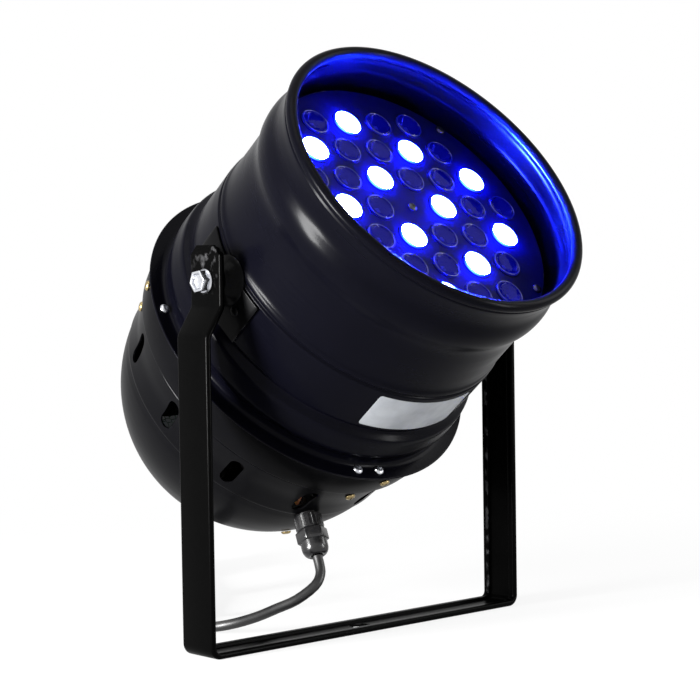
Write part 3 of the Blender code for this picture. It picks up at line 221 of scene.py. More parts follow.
class Form:
    """A shape under construction: a bmesh and the operators that the sub-assemblies share."""

    def __init__(self) -> None:
        """Start with an empty bmesh."""
        self.mesh: BMesh = bmesh.new()

    def turned(self, profile: Sequence[Sequence[float]], steps: int = ROUND_STEPS, matrix: Matrix = STILL,
               ring: bool = True, angle: float = math.tau, start: float = 0.0) -> "Form":
        """Spin a profile about Z.

        Args:
            profile: Points as (height, radius). An open profile starts and ends on the axis.
            steps: Steps of the spin.
            matrix: Where the turned shape goes.
            ring: Whether the profile closes on itself.
            angle: How far round the profile goes.
            start: Angle at which it starts.

        Returns:
            The form itself.
        """
        first = Matrix.Rotation(start, 3, "Z")
        verts = [self.mesh.verts.new(first @ Vector((radius, 0.0, height))) for height, radius in profile]
        after = verts[1:] + verts[:1] if ring else verts[1:]
        edges = [self.mesh.edges.new(pair) for pair in zip(verts, after)]
        full = abs(abs(angle) - math.tau) < 1e-6
        known = set(self.mesh.verts) - set(verts)
        bmesh.ops.spin(self.mesh, geom=verts + edges, cent=(0, 0, 0), axis=(0, 0, 1), dvec=(0, 0, 0),
                       angle=angle, steps=steps, use_merge=full, use_normal_flip=False,
                       use_duplicate=False)
        made = [v for v in self.mesh.verts if v not in known]
        bmesh.ops.remove_doubles(self.mesh, verts=made, dist=1e-6)
        made = [v for v in self.mesh.verts if v not in known]
        if not full:
            rims = {e for v in made for e in v.link_edges if e.is_boundary}
            bmesh.ops.holes_fill(self.mesh, edges=list(rims), sides=0)
        bmesh.ops.transform(self.mesh, matrix=matrix, verts=made)
        return self

    def round_bar(self, radius: float, low: float, high: float, sides: int = 32, matrix: Matrix = STILL,
                  top: float | None = None) -> "Form":
        """Add a closed bar or cone along Z.

        Args:
            radius: Radius of the bar, or of the cone's lower end.
            low: Height at which it starts.
            high: Height at which it ends.
            sides: Sides of its outline.
            matrix: Where it goes.
            top: Radius of the cone's upper end.

        Returns:
            The form itself.
        """
        bmesh.ops.create_cone(self.mesh, cap_ends=True, segments=sides, radius1=radius,
                              radius2=radius if top is None else top, depth=high - low,
                              matrix=matrix @ shift(z=(low + high) / 2))
        return self

    def block(self, size: Sequence[float], centre: Sequence[float] = (0, 0, 0),
              matrix: Matrix = STILL) -> "Form":
        """Add a closed box.

        Args:
            size: Its three sides.
            centre: Its centre.
            matrix: Where it goes.

        Returns:
            The form itself.
        """
        spot = matrix @ Matrix.Translation(centre) @ Matrix.Diagonal((*size, 1.0))
        bmesh.ops.create_cube(self.mesh, size=1.0, matrix=spot)
        return self

    def prism(self, outline: Sequence[Point], low: float, high: float, matrix: Matrix) -> "Form":
        """Add a closed prism over a flat outline, between two heights.

        Args:
            outline: Corners of the outline in order.
            low: Height of the outline itself.
            high: Height that it is raised to.
            matrix: Where the prism goes.

        Returns:
            The form itself.
        """
        verts = [self.mesh.verts.new((x, y, low)) for x, y in outline]
        edges = [self.mesh.edges.new(pair) for pair in zip(verts, verts[1:] + verts[:1])]
        faces = bmesh.ops.contextual_create(self.mesh, geom=edges)["faces"]
        raised = bmesh.ops.extrude_face_region(self.mesh, geom=faces, use_keep_orig=True)["geom"]
        top = [g for g in raised if isinstance(g, BMVert)]
        bmesh.ops.translate(self.mesh, verts=top, vec=(0.0, 0.0, high - low))
        bmesh.ops.transform(self.mesh, matrix=matrix, verts=verts + top)
        return self

    def eased(self, width: float, segments: int = 2, limit: float = 40.0) -> "Form":
        """Round every edge that turns by more than a limit.

        Args:
            width: How far the rounding reaches from the edge.
            segments: Steps of the rounding.
            limit: The limit in degrees.

        Returns:
            The form itself.
        """
        self.outward()
        sharp = [e for e in self.mesh.edges if len(e.link_faces) == 2
                 and e.calc_face_angle(0.0) > math.radians(limit)]
        bmesh.ops.bevel(self.mesh, geom=sharp, offset=width, offset_type="OFFSET", segments=segments,
                        profile=0.5, affect="EDGES", clamp_overlap=True, material=-1)
        return self

    def outward(self) -> "Form":
        """Turn every face of the closed shapes outwards."""
        bmesh.ops.recalc_face_normals(self.mesh, faces=self.mesh.faces[:])
        return self

    def added(self, other: "Form", *places: Matrix) -> "Form":
        """Copy another form into this one, at each place or as it stands.

        Args:
            other: The form that is copied. It stays as it is.
            places: Where its copies go.

        Returns:
            The form itself.
        """
        for matrix in places or (STILL,):
            mesh = bpy.data.meshes.new("copy")
            other.mesh.to_mesh(mesh)
            mesh.transform(matrix)
            self.mesh.from_mesh(mesh)
            bpy.data.meshes.remove(mesh)
        return self

    def without(self, cutter: "Form") -> "Form":
        """Take another form out of this one.

        Args:
            cutter: The form that is taken out, closed as this one is.

        Returns:
            The form itself.
        """
        holders = []
        for form in (self, cutter):
            mesh = bpy.data.meshes.new("holder")
            form.outward().mesh.to_mesh(mesh)
            holders.append(stand("holder", mesh))
        cut = holders[0].modifiers.new("cut", "BOOLEAN")
        cut.operation = "DIFFERENCE"
        cut.solver = "EXACT"
        cut.object = holders[1]
        spare = [worked_out(holders[0])] + [holder.data for holder in holders]
        self.mesh.free()
        self.mesh = bmesh.new()
        self.mesh.from_mesh(spare[0])
        for holder in holders:
            bpy.data.objects.remove(holder)
        for mesh in spare:
            bpy.data.meshes.remove(mesh)
        return self

    def along(self, points: Sequence[Vector], radius: float) -> "Form":
        """Add a round tube with filled ends.

        Args:
            points: The line that the tube follows.
            radius: The tube's radius.

        Returns:
            The form itself.
        """
        curve = bpy.data.curves.new("line", "CURVE")
        curve.dimensions = "3D"
        curve.bevel_depth = radius
        curve.bevel_resolution = 4
        curve.use_fill_caps = True
        spline = curve.splines.new("POLY")
        spline.points.add(len(points) - 1)
        for point, spot in zip(spline.points, points):
            point.co = (*spot, 1.0)
        holder = stand("line", curve)
        mesh = worked_out(holder)
        self.mesh.from_mesh(mesh)
        bpy.data.objects.remove(holder)
        bpy.data.curves.remove(curve)
        bpy.data.meshes.remove(mesh)
        bmesh.ops.remove_doubles(self.mesh, verts=self.mesh.verts[:], dist=1e-6)
        return self

    def piece(self, name: str, finish: "Finish", body: Body | str, matrix: Matrix = CAN.matrix,
              replaces: Sequence[str] = (), crease: float = 32.0) -> Object:
        """Close the form as a finished object.

        Args:
            name: Name of the object.
            finish: What it is made of.
            body: Body that it rides on.
            matrix: Where its mesh goes; the can's frame unless another is given.
            replaces: Nodes that it stands for.
            crease: Angle in degrees above which an edge stays sharp.

        Returns:
            The object, at the origin, with its place in its mesh.
        """
        bmesh.ops.remove_doubles(self.mesh, verts=self.mesh.verts[:], dist=2e-7)
        bmesh.ops.dissolve_degenerate(self.mesh, edges=self.mesh.edges[:], dist=1e-7)
        mesh = bpy.data.meshes.new(name)
        self.outward().mesh.to_mesh(mesh)
        self.mesh.free()
        mesh.transform(matrix)
        mesh.materials.append(finish.material())
        mesh.shade_smooth()
        mesh.set_sharp_from_angle(angle=math.radians(crease))
        made = stand(name, mesh)
        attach(made, body.value if isinstance(body, Body) else body)
        if replaces:
            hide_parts(*replaces)
        log.info("%s: %d faces, for %s", name, len(mesh.polygons), ", ".join(replaces) or "itself")
        return made


class Sweep:
    """A closed section carried along straights and bends, one ring of edges at a time."""

    def __init__(self, section: Sequence[Sequence[float]]) -> None:
        """Start from a section.

        Args:
            section: Its corners, in the world.
        """
        self.form = Form()
        verts = [self.form.mesh.verts.new(spot) for spot in section]
        self.ring: list[BMEdge] = [self.form.mesh.edges.new(pair)
                                   for pair in zip(verts, verts[1:] + verts[:1])]

    def straight(self, way: Vector, steps: int = 1) -> None:
        """Carry the section along a straight."""
        self._carry(Matrix.Translation(way / steps), steps)

    def bend(self, centre: Sequence[float], axis: Vector, angle: float, steps: int) -> None:
        """Carry the section round a bend about an axis through a centre."""
        there = Matrix.Translation(centre)
        self._carry(there @ Matrix.Rotation(angle / steps, 4, axis) @ there.inverted(), steps)

    def _carry(self, move: Matrix, steps: int) -> None:
        """Extrude the ring and move what is new, a number of times.

        Args:
            move: How the new ring is moved each time.
            steps: How many times.
        """
        for _ in range(steps):
            made = bmesh.ops.extrude_edge_only(self.form.mesh, edges=self.ring)["geom"]
            verts = [g for g in made if isinstance(g, BMVert)]
            bmesh.ops.transform(self.form.mesh, matrix=move, verts=verts)
            self.ring = [e for e in made if isinstance(e, BMEdge)
                         and e.verts[0] in verts and e.verts[1] in verts]


class Shader:
    """Adds, sets and joins the nodes of one tree."""

    def __init__(self, tree: NodeTree) -> None:
        """Work on a node tree."""
        self.tree = tree

    def set(self, node: Node, inputs: dict[str | int, object]) -> Node:
        """Give a node's inputs their values, or join sockets to them.

        Args:
            node: The node.
            inputs: Values or sockets for its inputs, by name or number.

        Returns:
            The node.
        """
        for key, value in inputs.items():
            if isinstance(value, NodeSocket):
                self.tree.links.new(value, node.inputs[key])
            else:
                node.inputs[key].default_value = value
        return node

    def add(self, kind: str, inputs: dict[str | int, object] | None = None, **settings: object) -> Node:
        """Add a node.

        Args:
            kind: Node type without its leading word.
            inputs: Values or sockets for its inputs, by name or number.
            settings: Settings of the node itself.

        Returns:
            The node.
        """
        made = self.tree.nodes.new("ShaderNode" + kind)
        for key, value in settings.items():
            setattr(made, key, value)
        return self.set(made, inputs or {})

    def math(self, operation: str, first: object, second: object) -> NodeSocket:
        """Return the result of a Math node on two values or sockets."""
        return self.add("Math", {0: first, 1: second}, operation=operation).outputs[0]

    def ramp(self, factor: NodeSocket, low: float, high: float, start: float = 0.0, end: float = 1.0,
             **settings: object) -> NodeSocket:
        """Return a value moved from one range to another, and held at its ends."""
        return self.add("MapRange", {"Value": factor, "From Min": low, "From Max": high, "To Min": start,
                                     "To Max": end}, **settings).outputs[0]

    def blend(self, factor: object, *colours: Sequence[float] | NodeSocket) -> NodeSocket:
        """Return a mix of two colours."""
        first, second = (c if isinstance(c, NodeSocket) else (*c, 1.0) for c in colours)
        return self.add("Mix", {0: factor, 6: first, 7: second}, data_type="RGBA").outputs[2]

    def noise(self, vector: NodeSocket, scale: object, detail: float, roughness: float = 0.5) -> NodeSocket:
        """Return noise of a scale, a depth of detail and a roughness."""
        return self.add("TexNoise", {"Vector": vector, "Scale": scale, "Detail": detail,
                                     "Roughness": roughness}).outputs["Fac"]

    def bump(self, strength: float, distance: float, height: NodeSocket) -> NodeSocket:
        """Return a normal bent by a height."""
        return self.add("Bump", {"Strength": strength, "Distance": distance, "Height": height}).outputs[0]


def start_group(name: str, outputs: Sequence[str], **inputs: float | None) -> tuple[Shader, Node, Node]:
    """Start a node group.

    Args:
        name: The group's name.
        outputs: Names of the values that it puts out.
        inputs: Its inputs, each with its own value, or None for a vector.

    Returns:
        The group's builder, its input node and its output node.
    """
    tree = bpy.data.node_groups.new(name, "ShaderNodeTree")
    for label, value in inputs.items():
        kind = "NodeSocketVector" if value is None else "NodeSocketFloat"
        socket = tree.interface.new_socket(name=label, in_out="INPUT", socket_type=kind)
        if value is not None:
            socket.default_value = value
    for label in outputs:
        tree.interface.new_socket(name=label, in_out="OUTPUT", socket_type="NodeSocketFloat")
    return Shader(tree), tree.nodes.new("NodeGroupInput"), tree.nodes.new("NodeGroupOutput")


@cache
def surface_grain() -> NodeTree:
    """Return the fine skin of paint or moulded plastic: a height, and clouds for its gloss.

    Returns:
        The group.
    """
    shader, start, end = start_group("surface_grain", ("Height", "Clouds"), Vector=None, Fine=900.0,
                                     Cloud=14.0)
    spot, fine, cloud = (start.outputs[label] for label in ("Vector", "Fine", "Cloud"))
    shader.set(end, {"Height": shader.noise(spot, fine, 3.0, 0.55),
                     "Clouds": shader.ramp(shader.noise(spot, cloud, 4.0), 0.35, 0.68)})
    return shader.tree


@cache
def spun_rings() -> NodeTree:
    """Return the fine turning marks of spun metal, along Z of the vector, and its broader streaks.

    Returns:
        The group.
    """
    shader, start, end = start_group("spun_rings", ("Height", "Streaks"), Vector=None, Pitch=1400.0)
    parts = shader.add("SeparateXYZ", {0: start.outputs["Vector"]}).outputs
    turn = shader.math("ARCTAN2", parts["Y"], parts["X"])
    marks = []
    for pitch, detail in ((start.outputs["Pitch"], 2.0), (160.0, 3.0)):
        swirl = shader.add("CombineXYZ", {"X": shader.math("SINE", turn, 0.0),
                                          "Y": shader.math("COSINE", turn, 0.0),
                                          "Z": shader.math("MULTIPLY", parts["Z"], pitch)})
        marks.append(shader.noise(swirl.outputs[0], 1.0, detail))
    shader.set(end, {"Height": marks[0], "Streaks": shader.ramp(marks[1], 0.3, 0.7)})
    return shader.tree


@cache
def fine_dust() -> NodeTree:
    """Return a thin dust mask that gathers on faces turned up, in patches and specks.

    Returns:
        The group.
    """
    shader, start, end = start_group("fine_dust", ("Mask",), Vector=None, Normal=None, Amount=0.3)
    spot = start.outputs["Vector"]
    rise = shader.add("SeparateXYZ", {0: start.outputs["Normal"]}).outputs["Z"]
    cloud = shader.ramp(shader.noise(spot, 34.0, 6.0, 0.7), 0.42, 0.72, 0.0, 0.7)
    specks = shader.ramp(shader.noise(spot, 760.0, 1.0), 0.66, 0.74)
    lying = shader.ramp(rise, -0.1, 1.0, 0.08, 1.0)
    mask = shader.math("MULTIPLY", shader.math("MAXIMUM", specks, cloud), lying)
    shader.set(end, {"Mask": shader.math("MULTIPLY", mask, start.outputs["Amount"])})
    return shader.tree


@cache
def edge_wear() -> NodeTree:
    """Return a mask of rubbed edges, broken up by noise.

    Returns:
        The group.
    """
    shader, start, end = start_group("edge_wear", ("Mask",), Vector=None, Edge=0.56)
    bend = shader.add("NewGeometry").outputs["Pointiness"]
    edge = shader.ramp(shader.math("SUBTRACT", bend, start.outputs["Edge"]), 0.0, 0.06)
    broken = shader.ramp(shader.noise(start.outputs["Vector"], 120.0, 5.0), 0.52, 0.66)
    shader.set(end, {"Mask": shader.math("MULTIPLY", edge, broken)})
    return shader.tree


class Place(Enum):
    """Coordinates that a finish's pattern runs in."""

    WORLD = "world"
    CAN = "can"


@dataclass(frozen=True)
class Finish:
    """What a piece is made of; each kind of finish sets its own inputs."""

    name: str
    slot: str
    colour: Colour
    roughness: float
    place: Place = Place.WORLD

    def material(self) -> Material:
        """Return this finish's material, built the first time it is asked for."""
        made = bpy.data.materials.get(self.name)
        if made is None:
            made = bpy.data.materials.new(self.name)
            made.use_nodes = True
            shader = Shader(made.node_tree)
            shader.set(made.node_tree.nodes["Principled BSDF"], self.inputs(shader))
        return made

    def inputs(self, shader: Shader) -> dict[str | int, object]:
        """Return what the surface's inputs get; each kind of finish has its own."""
        raise NotImplementedError(self.name)

    def vector(self, shader: Shader) -> NodeSocket:
        """Return object coordinates, turned into the can's frame where the finish asks for it.

        Args:
            shader: Builder of the material's tree.

        Returns:
            The coordinates.
        """
        spot = shader.add("TexCoord").outputs["Object"]
        if self.place is Place.WORLD:
            return spot
        back = CAN.matrix.inverted()
        return shader.add("Mapping", {"Vector": spot, "Location": back.translation,
                                      "Rotation": back.to_euler()}).outputs["Vector"]

    def grain(self, shader: Shader, vector: NodeSocket, fine: float,
              cloud: float) -> tuple[NodeSocket, NodeSocket]:
        """Return the skin's height and its clouds, at a fineness and a scale of the clouds."""
        made = shader.add("Group", {"Vector": vector, "Fine": fine, "Cloud": cloud},
                          node_tree=surface_grain())
        return made.outputs["Height"], made.outputs["Clouds"]

    def dusting(self, shader: Shader, vector: NodeSocket, amount: float) -> NodeSocket:
        """Return the mask of the dust that lies on the surface."""
        normal = shader.add("TexCoord").outputs["Normal"]
        return shader.add("Group", {"Vector": vector, "Normal": normal, "Amount": amount},
                          node_tree=fine_dust()).outputs["Mask"]

    def shade(self, shader: Shader, clouds: NodeSocket, share: float) -> NodeSocket:
        """Return the colour, which clouds darken to a share of itself."""
        return shader.blend(clouds, self.colour, [part * share for part in self.colour])

    def gloss(self, shader: Shader, clouds: NodeSocket, low: float, high: float) -> NodeSocket:
        """Return the roughness, which clouds vary between two shares of itself."""
        return shader.ramp(clouds, 0.0, 1.0, self.roughness * low, self.roughness * high)


@dataclass(frozen=True)
class Paint(Finish):
    """Black lacquer on sheet metal, with orange peel, light dust and faintly rubbed edges."""

    peel: float = 0.00002
    specular: float = 0.020
    dust: float = 0.006
    spun: float = 0.0
    edge: float = 0.56
    coat: float = 0.034
    rubbed: Colour = (0.16, 0.16, 0.165)
    dust_colour: Colour = (0.20, 0.19, 0.18)

    def inputs(self, shader: Shader) -> dict[str | int, object]:
        """Layer grain, turning marks, dust and wear.

        Args:
            shader: Builder of the material's tree.

        Returns:
            What the surface's inputs get, by name.
        """
        vector = self.vector(shader)
        height, clouds = self.grain(shader, vector, 620.0, 11.0)
        dust = self.dusting(shader, vector, self.dust)
        wear = shader.add("Group", {"Vector": vector, "Edge": self.edge}, node_tree=edge_wear())
        gloss = self.gloss(shader, clouds, 0.9, 1.12)
        if self.spun:
            rings = shader.add("Group", {"Vector": vector, "Pitch": 1500.0}, node_tree=spun_rings()).outputs
            gloss = shader.math("ADD", gloss, shader.ramp(rings["Streaks"], 0.0, 1.0, -0.03, 0.03))
            height = shader.math("ADD", height, shader.math("MULTIPLY", rings["Height"], self.spun))
        worn = shader.blend(shader.math("MULTIPLY", wear.outputs["Mask"], 0.35),
                            self.shade(shader, clouds, 0.8), self.rubbed)
        return {"Base Color": shader.blend(dust, worn, self.dust_colour),
                "Roughness": shader.math("ADD", gloss, shader.math("MULTIPLY", dust, 0.5)),
                "Specular IOR Level": self.specular, "Coat Weight": self.coat, "Coat Roughness": 0.16,
                "Normal": shader.bump(0.6, self.peel, height)}


@dataclass(frozen=True)
class Metal(Finish):
    """Bare or plated metal with brushed gloss and darker blotches."""

    blotch: Colour = (0.4, 0.4, 0.4)
    scratch: float = 0.00003

    def inputs(self, shader: Shader) -> dict[str | int, object]:
        """Layer blotches, gloss clouds and scratches."""
        height, clouds = self.grain(shader, self.vector(shader), 1400.0, 90.0)
        return {"Base Color": shader.blend(clouds, self.colour, self.blotch), "Metallic": 1.0,
                "Roughness": self.gloss(shader, clouds, 0.8, 1.3),
                "Normal": shader.bump(0.5, self.scratch, height)}


@dataclass(frozen=True)
class Plastic(Finish):
    """Moulded plastic, rubber or lacquered board with a fine skin and a little dust."""

    skin: float = 0.00003
    fine: float = 1500.0
    dust: float = 0.12
    specular: float = 0.45
    painted_glow: Colour | None = None
    dust_colour: Colour = (0.24, 0.23, 0.22)

    def inputs(self, shader: Shader) -> dict[str | int, object]:
        """Layer the moulded skin and dust, and any painted glow: emission standing in for stray light inside
        the plastic.

        Args:
            shader: Builder of the material's tree.

        Returns:
            What the surface's inputs get, by name.
        """
        vector = self.vector(shader)
        height, clouds = self.grain(shader, vector, self.fine, 60.0)
        dust = self.dusting(shader, vector, self.dust)
        inputs = {"Base Color": shader.blend(dust, self.shade(shader, clouds, 0.75), self.dust_colour),
                  "Roughness": self.gloss(shader, clouds, 0.85, 1.2),
                  "Specular IOR Level": self.specular,
                  "Normal": shader.bump(0.7, self.skin, height)}
        # painted glow: a flat emission as if stray light lit the plastic; the part is no lamp
        if self.painted_glow is not None:
            inputs |= {"Emission Color": (*self.painted_glow, 1.0), "Emission Strength": 1.0}
        return inputs


@dataclass(frozen=True)
class Glass(Finish):
    """Clear moulded acrylic with faint flow waves."""

    ior: float = 1.49
    wave: float = 0.00002

    def inputs(self, shader: Shader) -> dict[str | int, object]:
        """Set up clear acrylic."""
        height, clouds = self.grain(shader, self.vector(shader), 260.0, 120.0)
        return {"Base Color": (*self.colour, 1.0), "Roughness": self.gloss(shader, clouds, 1.0, 2.0),
                "IOR": self.ior, "Transmission Weight": 1.0,
                "Normal": shader.bump(0.25, self.wave, height)}


@dataclass(frozen=True)
class LitLens(Finish):
    """A lens with its LED on: blue with a cyan core along its axis, and a faint blue side."""

    strength: float = 230000.0
    rim: Colour = (0.000003, 0.000012, 0.0075)
    spread: float = 5.0
    core: Colour = (0.015, 0.07, 1.0)
    side_top: float = 0.00178
    face_low: float = 0.00186

    def inputs(self, shader: Shader) -> dict[str | int, object]:
        """Colour the light by height and by its angle to the axis, and gather it along the axis.

        Args:
            shader: Builder of the material's tree.

        Returns:
            What the surface's inputs get, by name.
        """
        height = shader.add("SeparateXYZ", {0: self.vector(shader)}).outputs["Z"]
        face = shader.ramp(height, PLATE_STATION + self.side_top, PLATE_STATION + self.face_low)
        layer = shader.add("LayerWeight", {"Blend": 0.5}).outputs["Facing"]
        facing = shader.math("SUBTRACT", 1.0, layer)
        top = shader.blend(shader.ramp(facing, 0.60, 0.85), self.colour, self.core)
        beam = shader.math("POWER", facing, self.spread)
        return {"Base Color": (0.0, 0.0, 0.1, 1.0), "Roughness": self.roughness,
                "Emission Color": shader.blend(face, self.rim, top),
                "Emission Strength": shader.math("MULTIPLY", beam, self.strength)}


@dataclass(frozen=True)
class Circuit(Finish):
    """Lacquered circuit board with its tracks showing as shallow relief."""

    track: Colour = (0.02, 0.10, 0.05)
    relief: float = 0.00004

    def inputs(self, shader: Shader) -> dict[str | int, object]:
        """Lay a net of tracks over the board's lacquer.

        Args:
            shader: Builder of the material's tree.

        Returns:
            What the surface's inputs get, by name.
        """
        cells = shader.add("TexVoronoi", {"Vector": self.vector(shader), "Scale": 230.0},
                           feature="DISTANCE_TO_EDGE", distance="MANHATTAN")
        lines = shader.ramp(cells.outputs["Distance"], 0.02, 0.06, 1.0, 0.0)
        return {"Base Color": shader.blend(lines, self.colour, self.track), "Roughness": self.roughness,
                "Normal": shader.bump(0.5, self.relief, lines)}

@dataclass(frozen=True)
class Palette:
    """Every finish on the object."""

    barrel: Finish = Paint("black_barrel_lacquer", "black_shell", (0.0012, 0.0012, 0.0026), 0.30,
                           Place.CAN, spun=0.10)
    bowl: Finish = Paint("black_bowl_lacquer", "black_shell", (0.0014, 0.0014, 0.0018), 0.34, Place.CAN,
                         peel=0.00003, spun=0.10, dust=0.015)
    steel: Finish = Paint("black_yoke_lacquer", "black_steel", (0.0004, 0.0004, 0.0004), 0.30,
                          peel=0.00004, edge=0.55, specular=0.012, coat=0.02, dust=0.004)
    bracket: Finish = Paint("black_bracket_lacquer", "black_steel", (0.0012, 0.0012, 0.0014), 0.34,
                            Place.CAN, peel=0.00003)
    black_screw: Finish = Paint("blackened_screw", "black_steel", (0.010, 0.010, 0.011), 0.25,
                                Place.CAN, specular=0.6)
    # The plate is black; its blue colour is painted light standing in for the LEDs' blue on it, over the
    # real light of the lit lenses.
    plate: Finish = Plastic("lens_plate_lacquer", "led_plate", (0.0014, 0.0016, 0.050), 0.45, Place.CAN,
                            skin=0.00002, fine=900.0, dust=0.0, specular=0.05)
    # The holders carry a painted glow: faint blue emission standing in for stray light from the lit LEDs.
    cup: Finish = Plastic("lens_holder_plastic", "led_plate", (0.002, 0.002, 0.02), 0.10, Place.CAN,
                          skin=0.000004, dust=0.0, specular=1.0, painted_glow=(0.003, 0.004, 0.17))
    # The lens's blue tint is painted light: the acrylic is clear, and the tint stands in for the blue LED
    # light seen through it.
    lens: Finish = Glass("clear_lens_acrylic", "lens", (0.10, 0.11, 0.80), 0.015, Place.CAN, 1.14)
    lit: Finish = LitLens("lit_lens", "lens", (0.014, 0.028, 1.0), 0.1, Place.CAN)
    zinc: Finish = Metal("zinc_plate", "zinc", (0.62, 0.63, 0.66), 0.26, blotch=(0.42, 0.43, 0.47))
    brass: Finish = Metal("yellow_passivated_brass", "brass", (0.40, 0.31, 0.15), 0.34,
                          blotch=(0.24, 0.18, 0.09))
    aluminium: Finish = Metal("bare_aluminium_sheet", "bare_aluminium", (0.66, 0.67, 0.69), 0.36,
                              blotch=(0.52, 0.53, 0.55))
    plastic: Finish = Plastic("black_nylon", "black_plastic", (0.004, 0.004, 0.0045), 0.22)
    rubber: Finish = Plastic("lead_sheath", "cord_rubber", (0.004, 0.004, 0.0043), 0.40, fine=700.0,
                             skin=0.00006)
    board: Finish = Circuit("board_lacquer", "circuit_board", (0.62, 0.66, 0.68), 0.4)
    window: Finish = Plastic("display_window", "display_window", (0.020, 0.004, 0.004), 0.08,
                             Place.CAN, skin=0.000005, dust=0.05, specular=0.5)
    # Grey rather than paper white: partly the averaged print of the real label, partly painted shade for the
    # dim underside of the band.
    sticker: Finish = Plastic("blank_paper_sticker", "black_plastic", (0.25, 0.262, 0.274), 0.45,
                              Place.CAN, skin=0.00002, dust=0.03)
    wire_brown: Finish = Plastic("wire_brown", "cord_rubber", (0.20, 0.07, 0.025), 0.4)
    wire_blue: Finish = Plastic("wire_blue", "cord_rubber", (0.03, 0.10, 0.34), 0.4)
    wire_amber: Finish = Plastic("wire_amber", "cord_rubber", (0.55, 0.28, 0.05), 0.4)


FINISH = Palette()

@dataclass
class PhotoCamera:
    """Camera at the photograph's place and angle."""

    spot: tuple[float, float, float] = (-0.8923, -0.9788, 0.2455)
    azimuth: float = math.radians(42.175)
    elevation: float = math.radians(2.627)
    roll: float = math.radians(-0.877)
    focal_length: float = 103.61
    sensor_width: float = 36.0

    def build(self) -> None:
        """Create the camera and make it the scene's own."""
        level = math.cos(self.elevation)
        view = Vector((math.sin(self.azimuth) * level, math.cos(self.azimuth) * level,
                       -math.sin(self.elevation)))
        flat = Vector((math.cos(self.azimuth), -math.sin(self.azimuth), 0.0))
        upright = flat.cross(view)
        right = flat * math.cos(self.roll) + upright * math.sin(self.roll)
        up = upright * math.cos(self.roll) - flat * math.sin(self.roll)
        data = bpy.data.cameras.new("photo_camera")
        data.lens = self.focal_length
        data.sensor_width = self.sensor_width
        data.clip_start = 0.05
        data.clip_end = 60.0
        camera = stand("photo_camera", data)
        camera.matrix_world = frame_at(self.spot, right, up, -view)
        bpy.context.scene.camera = camera
        log.info("camera %.1f mm", self.focal_length)


@dataclass(frozen=True)
class Softbox:
    """One area lamp of the studio."""

    name: str
    spot: tuple[float, float, float]
    target: tuple[float, float, float]
    width: float
    height: float
    power: float

    def build(self) -> None:
        """Create the lamp, facing its target."""
        data = bpy.data.lights.new(self.name, "AREA")
        data.shape = "RECTANGLE"
        data.size = self.width
        data.size_y = self.height
        data.energy = self.power
        turn = (Vector(self.target) - Vector(self.spot)).to_track_quat("-Z", "Y").to_matrix().to_4x4()
        stand(self.name, data).matrix_world = Matrix.Translation(self.spot) @ turn


@dataclass
class Studio:
    """Pale floor, white surroundings and soft lamps."""

    floor_size: float = 40.0
    floor_level: float = -0.0002
    surround: float = 0.45
    lamps: tuple[Softbox, ...] = (
        Softbox("low_left_strip", (-1.25, 0.12, 0.30), (0.0, 0.0, 0.20), 0.28, 0.50, 72.0),
        Softbox("top_box", (-0.2, -0.2, 1.7), (0.0, 0.0, 0.2), 1.0, 1.0, 6.0),
        Softbox("right_box", (1.3, -0.7, 0.9), (0.0, 0.0, 0.2), 0.5, 0.8, 5.0),
        Softbox("edge_strip", (0.75, -1.15, 0.30), (-0.13, 0.0, 0.2), 0.12, 0.8, 8.0),
    )

    def build(self) -> None:
        """Set up the floor, the world and the lamps."""
        self._floor()
        self._world()
        for lamp in self.lamps:
            lamp.build()
        bpy.context.scene.view_settings.view_transform = "Standard"
        log.info("studio with %d lamps", len(self.lamps))

    def _floor(self) -> None:
        """Lay the floor, white to the camera apart from the object's shadow."""
        form = Form()
        bmesh.ops.create_grid(form.mesh, x_segments=1, y_segments=1, size=self.floor_size / 2,
                              matrix=shift(z=self.floor_level))
        mesh = bpy.data.meshes.new("floor")
        form.mesh.to_mesh(mesh)
        paper = bpy.data.materials.new("floor_paper")
        paper.use_nodes = True
        shader = Shader(paper.node_tree)
        nodes = paper.node_tree.nodes
        pale = shader.set(nodes["Principled BSDF"], {"Base Color": (0.82, 0.82, 0.82, 1.0), "Roughness": 0.9,
                                                     "Specular IOR Level": 0.0})
        white = shader.add("Emission", {"Strength": 1.0})
        away = shader.add("VectorMath", {0: shader.add("TexCoord").outputs["Object"]}, operation="LENGTH")
        spread = shader.ramp(away.outputs["Value"], 0.10, 0.75, 0.86, 1.0, interpolation_type="SMOOTHSTEP")
        mixed = shader.add("MixShader", {0: shader.math("MULTIPLY", self._seen(shader), spread),
                                         1: pale.outputs[0], 2: white.outputs[0]})
        shader.set(nodes["Material Output"], {0: mixed.outputs[0]})
        mesh.materials.append(paper)
        stand("floor", mesh)

    def _world(self) -> None:
        """Make the surroundings white where they are seen, and a plain soft light elsewhere."""
        world = bpy.data.worlds.new("studio")
        world.use_nodes = True
        bpy.context.scene.world = world
        world.node_tree.nodes.clear()
        shader = Shader(world.node_tree)
        soft, white = (shader.add("Background", {"Color": (1.0, 1.0, 1.0, 1.0), "Strength": strength})
                       for strength in (self.surround, 1.0))
        mixed = shader.add("MixShader", {0: self._seen(shader), 1: soft.outputs[0], 2: white.outputs[0]})
        shader.add("OutputWorld", {0: mixed.outputs[0]})

    @staticmethod
    def _seen(shader: Shader) -> NodeSocket:
        """Tell the rays that show the background: camera, glossy and transmitted ones.

        Args:
            shader: Builder of the tree.

        Returns:
            1 for those rays and 0 for others.
        """
        path = shader.add("LightPath").outputs
        first = shader.math("MAXIMUM", path["Is Camera Ray"], path["Is Glossy Ray"])
        return shader.math("MAXIMUM", first, path["Is Transmission Ray"])


